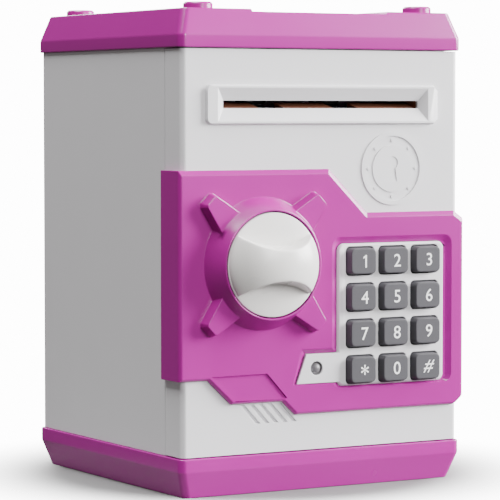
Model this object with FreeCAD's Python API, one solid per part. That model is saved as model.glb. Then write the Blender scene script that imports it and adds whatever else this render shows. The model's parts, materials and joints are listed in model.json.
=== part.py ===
import FreeCAD, Part

import math
import os

from FreeCAD import Vector

os.makedirs("parts", exist_ok=True)

# Toy safe coin bank. Millimetres, +Z up, front at -Y, origin under the middle of the case.

# ---- driving dimensions -------------------------------------------------------------
BODY_W = 127.6          # case and door width
BODY_D = 123.2          # case and door depth
LID_BOTTOM = 173.9      # underside of the lid
LID_BAND = 4.9          # straight band round the lid
LID_TOP = 189.1         # top of the four raised corner pads
CHANNEL_DEPTH = 1.0     # the cross channel between the pads
CHANNEL_HALF = 31.0     # half width of the cross channel
LID_INSET = 3.3         # how far the lid narrows on each side
BASE_TOP = 15.6         # top of the base's straight band
BASE_BAND = 10.4        # where the base starts to narrow
BASE_INSET = 3.4        # how far the base narrows on each side
OVERHANG = 1.1          # lid and base stand out past the case by this
CORNER_R = 2.3          # upright corner radius
WALL = 2.4              # moulded wall
STUD_R = 5.7
STUD_H = 2.6
STUD_X, STUD_Y = 50.7, 51.0

DOOR_BOTTOM, DOOR_TOP = 15.95, 173.55
DOOR_REAR_Y = -48.3     # seam between door and case
SEAM_GAP = 0.3
PLATE_T = 2.0           # coloured door plate stands this proud
PLATE_BEVEL = 1.9       # width of the bevel along its upper and slanting edges
PLATE_LOW_BEVEL = 0.9   # width of the bevel along its lower edges
BEVEL_DEPTH = 1.1
FLANGE_R = 1.6          # rounding where the plate turns back along the door's sides
HINGE_X, HINGE_Y = 59.8, -54.7
HINGE_SWING_R = 6.4     # the door's rear edge is rounded about the hinge axis
HINGE_WALL = 4.0        # thicker door wall on the hinge side
PIN_R = 1.5
LOWER_PIN_R = 2.2
LOWER_PIN_BORE = 1.3
LOWER_PIN_Z = 9.4
RUNNING_GAP = 0.05      # radial clearance of a shaft in its bore

KNOB_X, KNOB_Z = -29.1, 90.2
KNOB_R = 20.3
KNOB_HEIGHT = 10.0      # rim to the crest of the grip bar
BAR_HALF, BAR_CURVE = 6.2, 27.0     # the bar's half width and the radius of its sides
SCOOP_SLOPE = 1.4       # how far the sides of the bar lean
SCOOP_FLOOR = 0.8       # floor of the scoops above the rim
CONE_BASE_R, CONE_RIM_R, CONE_H = 26.0, 21.5, 9.0
WELL_R, WELL_DEPTH = 20.8, 4.6
SPOKE_REACH, SPOKE_H = 35.3, 4.4
SPOKE_TIP_HALF, SPOKE_ROOT_HALF = 2.9, 6.3
SPOKE_ROOT = 20.0       # where a spoke ends inside the cone
SPOKE_SLOPE = 1.1       # how far its sides lean
SEAL_X, SEAL_Z = 32.2, 126.6
SEAL_RELIEF = 0.4
LAMP_X, LAMP_Z, LAMP_R = -4.1, 48.2, 2.5
SPINDLE_R = 3.0
WHEEL_R, WHEEL_T = 14.0, 4.0
NOTCH_W, NOTCH_DEPTH = 5.0, 4.5
TONGUE_REACH = 27.6     # from the spindle axis to the tongue's tip
PLUNGER_R, PLUNGER_GAP = 2.0, 0.8   # radius, and rest gap below the wheel
COLLAR_DROP = 4.2       # from the plunger's top to its collar
SOLENOID_BOTTOM, SOLENOID_TOP = 42.0, 63.0
SOLENOID_SHEET = 1.2
COIL_R = 4.5

KEY_X, KEY_PITCH_X = 16.1, 15.3
KEY_Z, KEY_PITCH_Z = 90.0, 14.4
KEY_FACE_W, KEY_FACE_H = 11.6, 10.2
KEY_STEM_W, KEY_STEM_H = 12.8, 11.2
KEY_GAP = 0.2
KEY_NAMES = ["1", "2", "3", "4", "5", "6", "7", "8", "9", "star", "0", "hash"]
KEY_COLUMNS = 3
KEY_PROUD = 2.9
KEY_STROKE = 1.5

SLOT_W, SLOT_H = 90.0, 3.0
SLOT_Z = 152.1
BEZEL_W, BEZEL_BOTTOM, BEZEL_TOP = 107.6, 143.9, 160.0
BEZEL_PROUD = 1.5
MOUTH = (-48.5, 48.5, 145.5, 158.5)     # outer edge of the sloping mouth
MOUTH_DEPTH = 0.9
COIN_SLOT_L, COIN_SLOT_W = 36.0, 5.2

ROLLER_R, ROLLER_W = 6.0, 10.0
ROLLER_XS = (-22.0, 12.0)
RAMP_RISE = 2.3         # the ramp that lifts a note to the rollers
NIP_GAP = 0.3
SHAFT_R = 1.5
FEED_Y = -42.0
GEAR_MODULE, PRESSURE_ANGLE = 0.7, 25.0
GEAR_TEETH, PINION_TEETH = 34, 12
GEAR_X, GEAR_T = 47.2, 2.2
BACKLASH = 0.16
CENTRE_EXTRA = 0.1

CELL_R, CELL_L, CELL_COUNT = 7.1, 50.2, 3
CELL_PITCH = 15.2
CELL_Z = 11.2

# ---- values worked out from the driving dimensions ----------------------------------
HALF_W, HALF_D = BODY_W / 2, BODY_D / 2
FRONT_Y = -HALF_D
PLATE_Y = FRONT_Y - PLATE_T
RIM_Y = PLATE_Y - CONE_H
CASE_FRONT_Y = DOOR_REAR_Y + SEAM_GAP
LEDGE_T = 2.4
INNER_W = HALF_W - WALL
HOUSING_X0, HOUSING_X1 = -50.0, 52.0
HOUSING_Z0, HOUSING_Z1 = 24.0, 167.6
HOUSING_REAR_Y = -24.0
HOUSING_WALL = 2.0
COVER_FRONT_Y = DOOR_REAR_Y - WALL
DOOR_INNER_Y = FRONT_Y + WALL
FEED_Z = SLOT_Z - NIP_GAP / 2 - ROLLER_R
IDLER_Z = SLOT_Z + NIP_GAP / 2 + ROLLER_R
MOTOR_Z = FEED_Z - GEAR_MODULE * (GEAR_TEETH + PINION_TEETH) / 2 - CENTRE_EXTRA
WHEEL_Y = -42.0
TONGUE_Y = HOUSING_REAR_Y + 0.5
BEZEL_FACE_Y = PLATE_Y + 0.3
KEY_BACK_Y = -58.8
MAT_Y = KEY_BACK_Y + KEY_STROKE + 0.2
BOARD_Y = MAT_Y + 0.9
TAU = 2 * math.pi


# ---- helpers ------------------------------------------------------------------------
def box(x0, x1, y0, y1, z0, z1):
    """A block between two corners, given in either order."""
    low = Vector(min(x0, x1), min(y0, y1), min(z0, z1))
    return Part.makeBox(abs(x1 - x0), abs(y1 - y0), abs(z1 - z0), low)


def rod(radius, start, end):
    """A round bar from one point to another."""
    a, b = Vector(*start), Vector(*end)
    return Part.makeCylinder(radius, (b - a).Length, a, b - a)


def cone(r0, r1, start, end):
    """A round taper from one point to another."""
    a, b = Vector(*start), Vector(*end)
    return Part.makeCone(r0, r1, (b - a).Length, a, b - a)


def fuse(shapes):
    """One shape out of several."""
    first, rest = shapes[0], list(shapes[1:])
    return first.fuse(rest).removeSplitter() if rest else first


def cut(shape, tools):
    """A shape less a list of others."""
    return shape.cut(list(tools)) if tools else shape


def group(shapes):
    """Separate solids kept side by side in one node."""
    return Part.makeCompound([s for shape in shapes for s in shape.Solids])


def front_face(points, y):
    """A flat face in an upright plane, from (x, z) corners."""
    corners = [Vector(x, y, z) for x, z in points]
    return Part.Face(Part.makePolygon(corners + corners[:1]))


def front_prism(points, y0, y1):
    """An (x, z) outline carried from y0 to y1."""
    return front_face(points, y0).extrude(Vector(0, y1 - y0, 0))


def rounded_wire(x0, x1, z0, z1, radius, place):
    """A rectangle with round corners; place turns (u, v) into a point."""
    corners = [(x1, z0, 1, -1), (x1, z1, 1, 1), (x0, z1, -1, 1), (x0, z0, -1, -1)]
    bend = radius * (1 - math.sqrt(0.5))
    ends = []
    for u, v, su, sv in corners:
        before = (u - su * radius, v) if su * sv < 0 else (u, v - sv * radius)
        after = (u, v - sv * radius) if su * sv < 0 else (u - su * radius, v)
        ends.append((before, (u - su * bend, v - sv * bend), after))
    edges = []
    for i, (before, middle, after) in enumerate(ends):
        edges.append(Part.Arc(place(*before), place(*middle), place(*after)).toShape())
        edges.append(Part.makeLine(place(*after), place(*ends[(i + 1) % 4][0])))
    return Part.Wire(edges)


def level(z):
    """Places (u, v) flat at height z."""
    return lambda u, v: Vector(u, v, z)


def upright(y):
    """Places (u, v) upright at depth y."""
    return lambda u, v: Vector(u, y, v)


def tower(half_w, half_d, radius, z0, z1, inset0=0.0, inset1=0.0):
    """A round-cornered block that may narrow between two heights."""
    wires = []
    for z, inset in ((z0, inset0), (z1, inset1)):
        w, d = half_w - inset, half_d - inset
        wires.append(rounded_wire(-w, w, -d, d, radius, level(z)))
    return Part.makeLoft(wires, True, True)


def pane(x0, x1, z0, z1, radius, y0, y1, inset1=0.0):
    """A round-cornered upright block that may narrow between two depths."""
    wires = []
    for y, inset in ((y0, 0.0), (y1, inset1)):
        outline = (x0 + inset, x1 - inset, z0 + inset, z1 - inset)
        wires.append(rounded_wire(*outline, max(radius - inset, 0.4), upright(y)))
    return Part.makeLoft(wires, True, True)


def screw(head, tip, shank_r=1.1, head_r=2.2, head_h=1.4):
    """A cross-head screw; its head lies outside the point called head."""
    a, b = Vector(*head), Vector(*tip)
    along = (b - a).normalize()
    top = a - along * head_h
    body = fuse([rod(shank_r, head, tip), rod(head_r, tuple(top), head)])
    blade = Part.makeBox(head_r * 2, 0.6, 1.0, Vector(-head_r, -0.3, -0.3))
    for turn in (0, 90):
        slot = blade.copy()
        slot.rotate(Vector(0, 0, 0), Vector(0, 0, 1), turn)
        slot.scale(0.62)
        aim = FreeCAD.Placement(top, FreeCAD.Rotation(Vector(0, 0, 1), along))
        slot.Placement = aim.multiply(slot.Placement)
        body = body.cut(slot)
    return body


def export(shape, node):
    """Writes one node."""
    shape.exportStep("parts/" + node + ".step")


# ---- case ---------------------------------------------------------------------------
CASE_POSTS = [(x, y) for x in (-57.6, 57.6) for y in (-41.0, 53.5)]
POST_R, POST_H = 3.4, 12.0
SCREW_BORE = 1.1
KEEPER_Z0, KEEPER_Z1 = 79.0, 101.0


def body_shell():
    """Three walls of the case with posts for the screws of the lid and the base."""
    outer = tower(HALF_W, HALF_D, CORNER_R, BASE_TOP, LID_BOTTOM)
    outer = outer.common(box(-HALF_W, HALF_W, CASE_FRONT_Y, HALF_D, BASE_TOP, LID_BOTTOM))
    inner = box(-INNER_W, INNER_W, CASE_FRONT_Y - 1, HALF_D - WALL, BASE_TOP - 1, LID_BOTTOM + 1)
    posts, bores = [], []
    for x, y in CASE_POSTS:
        side = math.copysign(INNER_W + 0.5, x)
        for z0, z1 in ((BASE_TOP, BASE_TOP + POST_H), (LID_BOTTOM - POST_H, LID_BOTTOM)):
            posts.append(rod(POST_R, (x, y, z0), (x, y, z1)))
            posts.append(box(min(x, side), max(x, side), y - 1.2, y + 1.2, z0, z1))
            bores.append(rod(SCREW_BORE, (x, y, z0 - 1), (x, y, z1 + 1)))
    holes = [rod(SCREW_BORE, (-HALF_W + 0.8, y, z), (-INNER_W + 1, y, z)) for y, z in KEEPER_SCREWS]
    return cut(fuse([cut(outer, [inner])] + posts), bores + holes)


KEEPER_Y0, KEEPER_Y1 = -36.5, -24.4
KEEPER_SCREWS = [(-32.5, KEEPER_Z0 + 4.5), (-32.5, KEEPER_Z1 - 4.5)]


def latch_keeper():
    """A steel angle on the left wall; the tongue turns in behind its lip."""
    pad = box(-INNER_W, -INNER_W + 1.2, KEEPER_Y0, KEEPER_Y1, KEEPER_Z0, KEEPER_Z1)
    lip = box(-INNER_W, -52.0, KEEPER_Y1 - 1.6, KEEPER_Y1, KEEPER_Z0, KEEPER_Z1)
    bores = [rod(SCREW_BORE, (-HALF_W, y, z), (-58, y, z)) for y, z in KEEPER_SCREWS]
    return cut(fuse([pad, lip]), bores)


def keeper_screws():
    """Two screws that hold the keeper to the wall."""
    face = -INNER_W + 1.2
    return group([screw((face, y, z), (-HALF_W + 0.9, y, z)) for y, z in KEEPER_SCREWS])


def lid():
    """Hollow lid with four raised corner pads, studs, a coin slot and a hinge ledge."""
    w, d = HALF_W + OVERHANG, HALF_D + OVERHANG
    band_top = LID_BOTTOM + LID_BAND
    outer = fuse([
        tower(w, d, CORNER_R + 0.6, LID_BOTTOM, band_top),
        tower(w, d, CORNER_R + 0.6, band_top, LID_TOP, 0.0, LID_INSET),
    ])
    roof = LID_TOP - CHANNEL_DEPTH - WALL
    hollow = tower(w, d, CORNER_R, LID_BOTTOM - 1, roof, WALL + 1.2, WALL + LID_INSET)
    hollow = hollow.common(box(-w, w, CASE_FRONT_Y, d, LID_BOTTOM - 1, roof))
    front_room = tower(w, d, CORNER_R, LID_BOTTOM + LEDGE_T, roof, WALL + 1.2, WALL + LID_INSET)
    front_room = front_room.common(box(-w, w, -d, CASE_FRONT_Y, LID_BOTTOM, roof))
    floor = LID_TOP - CHANNEL_DEPTH
    half, slope = CHANNEL_HALF, 1.0
    profile = [(-half, floor), (half, floor), (half + slope, LID_TOP + 1), (-half - slope, LID_TOP + 1)]
    channel = front_prism(profile, -d - 1, d + 1)
    studs = [cone(STUD_R + 0.1, STUD_R, (sx * STUD_X, sy * STUD_Y, LID_TOP - 1),
                  (sx * STUD_X, sy * STUD_Y, LID_TOP + STUD_H)) for sx in (-1, 1) for sy in (-1, 1)]
    studs = [s.makeChamfer(0.7, [e for e in s.Edges if e.BoundBox.ZMin > LID_TOP + 1]) for s in studs]
    bosses, bores = [], []
    for x, y in CASE_POSTS:
        bosses.append(rod(POST_R, (x, y, LID_BOTTOM), (x, y, roof + 0.5)))
        bores.append(rod(SCREW_BORE, (x, y, LID_BOTTOM - 1), (x, y, roof - 1.5)))
    bosses.append(rod(3.4, (HINGE_X, HINGE_Y, LID_BOTTOM), (HINGE_X, HINGE_Y, LID_BOTTOM + 9)))
    inside = cut(outer, [hollow, front_room, channel])
    bosses = [b.common(outer) for b in bosses]
    bores.append(rod(PIN_R, (HINGE_X, HINGE_Y, LID_BOTTOM - 1), (HINGE_X, HINGE_Y, LID_BOTTOM + 8)))
    slot = box(-COIN_SLOT_L / 2, COIN_SLOT_L / 2, -COIN_SLOT_W / 2, COIN_SLOT_W / 2, roof - 1, LID_TOP + 1)
    return cut(fuse([inside] + bosses + studs), bores + [slot])


CELL_X0 = -CELL_PITCH
BAY_HALF_X = CELL_PITCH * CELL_COUNT / 2 + 1.0
BAY_Y0, BAY_Y1 = -32.0, 32.0
COVER_T, COVER_Z = 2.2, 0.8
BAY_ROOF = CELL_Z + CELL_R + 1.0
COVER_SCREW_Y = BAY_Y1 + 5.5
COVER_RIB_XS = (-6, -2, 2, 6)
WIRE_HOLE_X = BAY_HALF_X - 2.3


def base():
    """Tray with sloping sides, a battery bay and a ledge for the lower hinge pin."""
    w, d = HALF_W + OVERHANG, HALF_D + OVERHANG
    outer = fuse([
        tower(w, d, CORNER_R + 0.6, 0, BASE_BAND, BASE_INSET, 0.0),
        tower(w, d, CORNER_R + 0.6, BASE_BAND, BASE_TOP),
    ])
    room = tower(w, d, CORNER_R, WALL, BASE_TOP + 1, WALL + BASE_INSET, WALL + 1.2)
    rear_room = room.common(box(-w, w, CASE_FRONT_Y, d, WALL, BASE_TOP + 1))
    front_room = room.common(box(-w, w, -d, CASE_FRONT_Y, WALL, BASE_TOP - LEDGE_T))
    shell = cut(outer, [rear_room, front_room])
    bay_out = box(-BAY_HALF_X - 2, BAY_HALF_X + 2, BAY_Y0 - 2, BAY_Y1 + 2, WALL - 1, BAY_ROOF + 1.8)
    bay_in = box(-BAY_HALF_X, BAY_HALF_X, BAY_Y0, BAY_Y1, -1, BAY_ROOF)
    edge, roof = BAY_HALF_X + 1.2, COVER_Z + COVER_T
    rebate = box(-edge, edge, BAY_Y0 - 1.2, COVER_SCREW_Y + 5, -1, roof)
    rebate_out = box(-edge - 1.8, edge + 1.8, BAY_Y0 - 3, COVER_SCREW_Y + 7, 0.2, roof + 2)
    posts, bores = [], []
    for x, y in CASE_POSTS:
        posts.append(rod(POST_R, (x, y, 0.5), (x, y, BASE_TOP)).common(outer))
        bores.append(rod(SCREW_BORE + 0.1, (x, y, -1), (x, y, BASE_TOP + 1)))
        bores.append(rod(2.6, (x, y, -1), (x, y, 6.0)))
    hinge = rod(4.2, (HINGE_X, HINGE_Y, 4.0), (HINGE_X, HINGE_Y, BASE_TOP)).common(outer)
    wire_hole = rod(1.2, (WIRE_HOLE_X, BAY_Y0 - 3, CELL_Z), (WIRE_HOLE_X, BAY_Y0 + 1, CELL_Z))
    screw_post = rod(4.0, (0, COVER_SCREW_Y, 1.0), (0, COVER_SCREW_Y, 11.0))
    solid = fuse([shell, bay_out, rebate_out, screw_post, hinge] + posts)
    bores += [
        bay_in,
        rebate,
        wire_hole,
        rod(SCREW_BORE, (0, COVER_SCREW_Y, 1.0), (0, COVER_SCREW_Y, 10.0)),
        rod(LOWER_PIN_R, (HINGE_X, HINGE_Y, LOWER_PIN_Z), (HINGE_X, HINGE_Y, BASE_TOP + 1)),
        rod(LOWER_PIN_BORE, (HINGE_X, HINGE_Y, 6.6), (HINGE_X, HINGE_Y, 10.0)),
        rod(1.6, (HINGE_X - 8, HINGE_Y + 8, 8.0), (HINGE_X, HINGE_Y, 8.0)),
    ]
    return cut(solid, bores)


def battery_cover():
    """Flush cover under the base with two tabs and a screw ear."""
    edge, roof = BAY_HALF_X + 1, COVER_Z + COVER_T - 0.1
    plate = box(-edge, edge, BAY_Y0 - 1, COVER_SCREW_Y + 4.8, COVER_Z, roof)
    ribs = []
    for x in COVER_RIB_XS:
        ribs.append(box(x - 0.5, x + 0.5, BAY_Y1 - 12, BAY_Y1 - 2, COVER_Z - 0.5, COVER_Z + 0.5))
    hole = rod(SCREW_BORE + 0.2, (0, COVER_SCREW_Y, -1), (0, COVER_SCREW_Y, 5))
    sink = rod(2.5, (0, COVER_SCREW_Y, -1), (0, COVER_SCREW_Y, COVER_Z + 1.2))
    return cut(fuse([plate] + ribs), [hole, sink])


def battery_cover_screw():
    """One screw through the cover's ear."""
    return screw((0, COVER_SCREW_Y, COVER_Z + 1.2), (0, COVER_SCREW_Y, 9.5), head_h=1.1)


def cell_xs():
    """Middle line of each cell."""
    return [CELL_X0 + CELL_PITCH * i for i in range(CELL_COUNT)]


def battery_cells():
    """Three cells side by side, alternate ones turned round."""
    cells = []
    for i, x in enumerate(cell_xs()):
        way = 1 if i % 2 == 0 else -1
        y0, y1 = -way * CELL_L / 2, way * (CELL_L / 2 - 1.4)
        can = rod(CELL_R, (x, y0, CELL_Z), (x, y1, CELL_Z))
        button = rod(2.6, (x, y1, CELL_Z), (x, y1 + way * 1.4, CELL_Z))
        cells.append(fuse([can, button]))
    return group(cells)


def contact_spring(x, y0, y1):
    """A conical contact spring as a coil of round wire."""
    turns, radius = 4, 3.6
    pitch = abs(y1 - y0) / turns
    helix = Part.makeHelix(pitch, abs(y1 - y0), radius)
    start = Vector(radius, 0, 0)
    ring = Part.Wire(Part.makeCircle(0.35, start, Vector(0, 1, 0)))
    coil = Part.Wire(helix).makePipeShell([ring], True, True)
    turn = FreeCAD.Rotation(Vector(0, 0, 1), Vector(0, 1 if y1 > y0 else -1, 0))
    coil.Placement = FreeCAD.Placement(Vector(x, y0, CELL_Z), turn)
    return coil


def battery_contacts():
    """Plated contact plates at both ends of the bay."""
    plates = []
    for x in cell_xs():
        for y in (BAY_Y0, BAY_Y1 - 0.5):
            plates.append(box(x - 5, x + 5, y, y + 0.5, CELL_Z - 5.5, CELL_Z + 5.5))
    return group(plates)


def battery_springs():
    """One coil spring behind the flat end of each cell, and a lug before each button."""
    coils = []
    for i, x in enumerate(cell_xs()):
        way = 1 if i % 2 == 0 else -1
        wall = BAY_Y0 + 0.85 if way > 0 else BAY_Y1 - 0.85
        coils.append(contact_spring(x, wall, -way * (CELL_L / 2 + 0.4)))
    return group(coils)


def base_screws():
    """Four screws up through the base into the case's lower posts."""
    return group([screw((x, y, 6.0), (x, y, BASE_TOP + 8)) for x, y in CASE_POSTS])


def lid_screws():
    """Four screws up through the case's upper posts into the lid's bosses."""
    return group([screw((x, y, LID_BOTTOM - POST_H), (x, y, LID_BOTTOM + 7)) for x, y in CASE_POSTS])


def upper_hinge_pin():
    """Steel pin fixed in the lid's ledge."""
    return rod(PIN_R, (HINGE_X, HINGE_Y, 165.0), (HINGE_X, HINGE_Y, LID_BOTTOM + 7.5))


def lower_hinge_pin():
    """Hollow pin fixed in the base; the wires to the door pass up through it."""
    tube = rod(LOWER_PIN_R, (HINGE_X, HINGE_Y, LOWER_PIN_Z), (HINGE_X, HINGE_Y, 24.0))
    return cut(tube, [rod(LOWER_PIN_BORE, (HINGE_X, HINGE_Y, 5.0), (HINGE_X, HINGE_Y, 25.0))])


# ---- door ---------------------------------------------------------------------------
COVER_X1 = HINGE_X - 0.3
COVER_SCREWS = [(-55.4, 27.0), (-55.4, 96.0), (-55.4, 163.0), (56.4, 106.0), (56.4, 156.0), (36.0, 21.4)]
PLATE_SCREWS = [(-57.0, 60.0), (-57.0, 118.0), (-4.0, 118.0), (-4.0, 64.0), (0.0, 34.5), (54.6, 34.5)]
WINDOW = (8.4, 54.4, 40.9, 96.2)
GROOVE_XS = [-37.8 + 4.12 * i for i in range(5)]
GROOVE_W, GROOVE_DEPTH, GROOVE_RUN = 1.9, 0.9, 7.0


def door_block():
    """The door's outer form, rounded at the front corners and about the hinge."""
    block = tower(HALF_W, HALF_D, CORNER_R, DOOR_BOTTOM, DOOR_TOP)
    block = block.common(box(-HALF_W, HALF_W, FRONT_Y, DOOR_REAR_Y, DOOR_BOTTOM, DOOR_TOP))
    edge = box(HINGE_X, HALF_W + 1, HINGE_Y, DOOR_REAR_Y + 1, DOOR_BOTTOM - 1, DOOR_TOP + 1)
    swing = rod(HINGE_SWING_R, (HINGE_X, HINGE_Y, DOOR_BOTTOM - 2), (HINGE_X, HINGE_Y, DOOR_TOP + 2))
    return block.cut(edge.cut(swing))


def seal():
    """A plain round seal with a keyhole, in low relief."""
    x, z, face, relief = SEAL_X, SEAL_Z, FRONT_Y, SEAL_RELIEF
    rim = rod(14.6, (x, face + 1, z), (x, face - relief, z))
    rim = rim.cut(rod(13.0, (x, face - 2, z), (x, face + 2, z)))
    disc = rod(9.4, (x, face + 1, z), (x, face - relief * 0.75, z))
    keyway = [(x - 1.1, z + 2), (x + 1.1, z + 2), (x + 2.2, z - 5.2), (x - 2.2, z - 5.2)]
    keyhole = fuse([
        rod(2.6, (x, face - 2, z + 2.2), (x, face - 0.05, z + 2.2)),
        front_prism(keyway, face - 2, face - 0.05),
    ])
    studs = []
    for i in range(8):
        a = TAU * i / 8
        u, v = x + 11.2 * math.cos(a), z + 11.2 * math.sin(a)
        studs.append(rod(0.7, (u, face + 1, v), (u, face - relief * 0.75, v)))
    return [rim, disc.cut(keyhole)] + studs


def door_front():
    """White front moulding: bill slot bezel, seal, grooves, key window and bosses."""
    right = HALF_W - HINGE_WALL
    room = box(-INNER_W, right, DOOR_INNER_Y, DOOR_REAR_Y + 1, DOOR_BOTTOM + WALL, DOOR_TOP - WALL)
    shell = door_block().cut(room)
    half = BEZEL_W / 2
    bezel = pane(-half, half, BEZEL_BOTTOM, BEZEL_TOP, 3.0, FRONT_Y + 0.5, FRONT_Y - BEZEL_PROUD, 0.8)
    low = SLOT_Z - SLOT_H / 2
    throat = pane(-SLOT_W / 2, SLOT_W / 2, low, low + SLOT_H, 0.5, DOOR_INNER_Y + 1, FRONT_Y - 3)
    mouth_wires = [
        closed_wire(corners_of(*MOUTH), FRONT_Y - BEZEL_PROUD),
        closed_wire(corners_of(-SLOT_W / 2, SLOT_W / 2, low, low + SLOT_H), FRONT_Y + MOUTH_DEPTH),
    ]
    mouth = Part.makeLoft(mouth_wires, True, True)
    boss_r = HINGE_SWING_R - 3.0
    bosses = [
        rod(boss_r, (HINGE_X, HINGE_Y, DOOR_BOTTOM), (HINGE_X, HINGE_Y, DOOR_BOTTOM + 10)),
        rod(boss_r, (HINGE_X, HINGE_Y, DOOR_TOP - 10), (HINGE_X, HINGE_Y, DOOR_TOP)),
        rod(6.0, (KNOB_X, FRONT_Y, KNOB_Z), (KNOB_X, FRONT_Y + 8, KNOB_Z)),
    ]
    bosses += [rod(3.0, (x, DOOR_INNER_Y - 1, z), (x, COVER_FRONT_Y, z)) for x, z in COVER_SCREWS]
    bosses = [b.common(door_block()) for b in bosses]
    grooves = []
    for x in GROOVE_XS:
        slant = [(x, 35.2), (x + GROOVE_W, 35.2), (x + GROOVE_RUN + GROOVE_W, 27.6), (x + GROOVE_RUN, 27.6)]
        grooves.append(front_prism(slant, FRONT_Y - 1, FRONT_Y + GROOVE_DEPTH))
    start, end = DOOR_INNER_Y + 0.5, COVER_FRONT_Y + 1
    bores = [rod(SCREW_BORE, (x, start, z), (x, end, z)) for x, z in COVER_SCREWS]
    bores += [rod(SCREW_BORE + 0.1, (x, FRONT_Y - 1, z), (x, DOOR_INNER_Y + 1, z)) for x, z in PLATE_SCREWS]
    bores += [rod(r, (x, FRONT_Y - 1, z), (x, DOOR_INNER_Y + 1, z)) for x, z, r in BEZEL_STAKES]
    bores += [
        box(WINDOW[0], WINDOW[1], FRONT_Y - 1, DOOR_INNER_Y + 1, WINDOW[2], WINDOW[3]),
        rod(SPINDLE_R + RUNNING_GAP, (KNOB_X, FRONT_Y - 1, KNOB_Z), (KNOB_X, FRONT_Y + 9, KNOB_Z)),
        rod(LAMP_R + 0.2, (LAMP_X, FRONT_Y - 1, LAMP_Z), (LAMP_X, DOOR_INNER_Y + 1, LAMP_Z)),
        rod(PIN_R + RUNNING_GAP, (HINGE_X, HINGE_Y, 164.5), (HINGE_X, HINGE_Y, DOOR_TOP + 1)),
        rod(LOWER_PIN_R + RUNNING_GAP, (HINGE_X, HINGE_Y, DOOR_BOTTOM - 1), (HINGE_X, HINGE_Y, 34)),
        throat,
        mouth,
    ]
    return cut(fuse([shell, bezel] + bosses + seal()), bores + grooves)


PLATE_OUTLINE = [
    (-65.8, 45.6), (-52.9, 45.6), (-42.5, 35.8), (-19.5, 35.8), (-13.6, 30.3), (61.1, 30.3),
    (65.8, 34.2), (65.8, 106.2), (61.4, 109.2), (19.7, 109.2), (1.9, 126.7), (-65.8, 126.7),
]
PLATE_BEVELS = [PLATE_LOW_BEVEL] * 5 + [0.0, 0.0] + [PLATE_BEVEL] * 4 + [0.0]
RECESS = (3.0, 59.9, 39.8, 99.8)        # outer edge of the slope round the keypad
RECESS_FLOOR = (5.4, 57.5, 40.3, 97.4)
RECESS_DEPTH = 1.4
WING_SLOPE = 2.0
BADGE_RECESS = [(-51.6, 47.0), (-26.8, 47.2), (-17.7, 37.2), (-41.2, 36.9)]
BEZEL_RECT = (5.6, 56.3, 40.5, 97.1)
BOARD = (-9.0, 52.8, 39.0, 100.0)
BEZEL_STAKES = [(7.0, 60.0, 0.9), (7.0, 82.0, 0.9), (55.4, 60.0, 0.6), (55.4, 82.0, 0.6), (1.0, 46.0, 1.2)]
WING = [(6.5, 53.9), (-8.9, 53.9), (-13.3, 42.2), (6.5, 42.2)]


def closed_wire(points, y):
    """A closed upright outline at depth y, from (x, z) corners."""
    corners = [Vector(x, y, z) for x, z in points]
    return Part.makePolygon(corners + corners[:1])


def corners_of(x0, x1, z0, z1):
    """The four (x, z) corners of a rectangle."""
    return [(x0, z0), (x1, z0), (x1, z1), (x0, z1)]


def inset_outline(points, insets):
    """An anticlockwise outline with each side moved inwards by its own distance."""
    sides = []
    for (x0, z0), (x1, z1), inset in zip(points, points[1:] + points[:1], insets):
        length = math.hypot(x1 - x0, z1 - z0)
        along = ((x1 - x0) / length, (z1 - z0) / length)
        sides.append((x0 - along[1] * inset, z0 + along[0] * inset, along))
    moved = []
    for (ax, az, a), (bx, bz, b) in zip([sides[-1]] + sides[:-1], sides):
        cross = a[0] * b[1] - a[1] * b[0]
        t = ((bx - ax) * b[1] - (bz - az) * b[0]) / cross
        moved.append((ax + a[0] * t, az + a[1] * t))
    return moved


def spoke(turn):
    """A tapered bar with sloping sides that runs from the dial's cone out over the plate."""
    tip, root = SPOKE_TIP_HALF, SPOKE_ROOT_HALF
    nose = 0.7
    top = [
        (-SPOKE_ROOT, root), (nose - SPOKE_REACH, tip), (-SPOKE_REACH, tip - nose),
        (-SPOKE_REACH, nose - tip), (nose - SPOKE_REACH, -tip), (-SPOKE_ROOT, -root),
    ]
    foot = inset_outline(top, [-SPOKE_SLOPE] * 5 + [0.0])
    wires = [closed_wire(foot, PLATE_Y + 0.2), closed_wire(top, PLATE_Y - SPOKE_H)]
    bar = Part.makeLoft(wires, True, True)
    bar.rotate(Vector(0, 0, 0), Vector(0, 1, 0), turn)
    bar.translate(Vector(KNOB_X, 0, KNOB_Z))
    return bar


def bezel_wing(gap, under):
    """The lamp wing's outline, moved out by one gap and down by another."""
    return [(x - gap, z + (gap if z > LAMP_Z else -under)) for x, z in WING]


def bezel_room(gap):
    """The space that the keypad panel and its lamp wing take in the plate."""
    x0, x1, z0, z1 = BEZEL_RECT
    panel = pane(x0 - gap, x1 + gap, z0 - gap, z1 + gap, 3.0, FRONT_Y + 1, PLATE_Y - 1)
    wing = front_prism(bezel_wing(gap, gap), FRONT_Y + 1, PLATE_Y - 1)
    return panel.fuse(wing)


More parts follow.
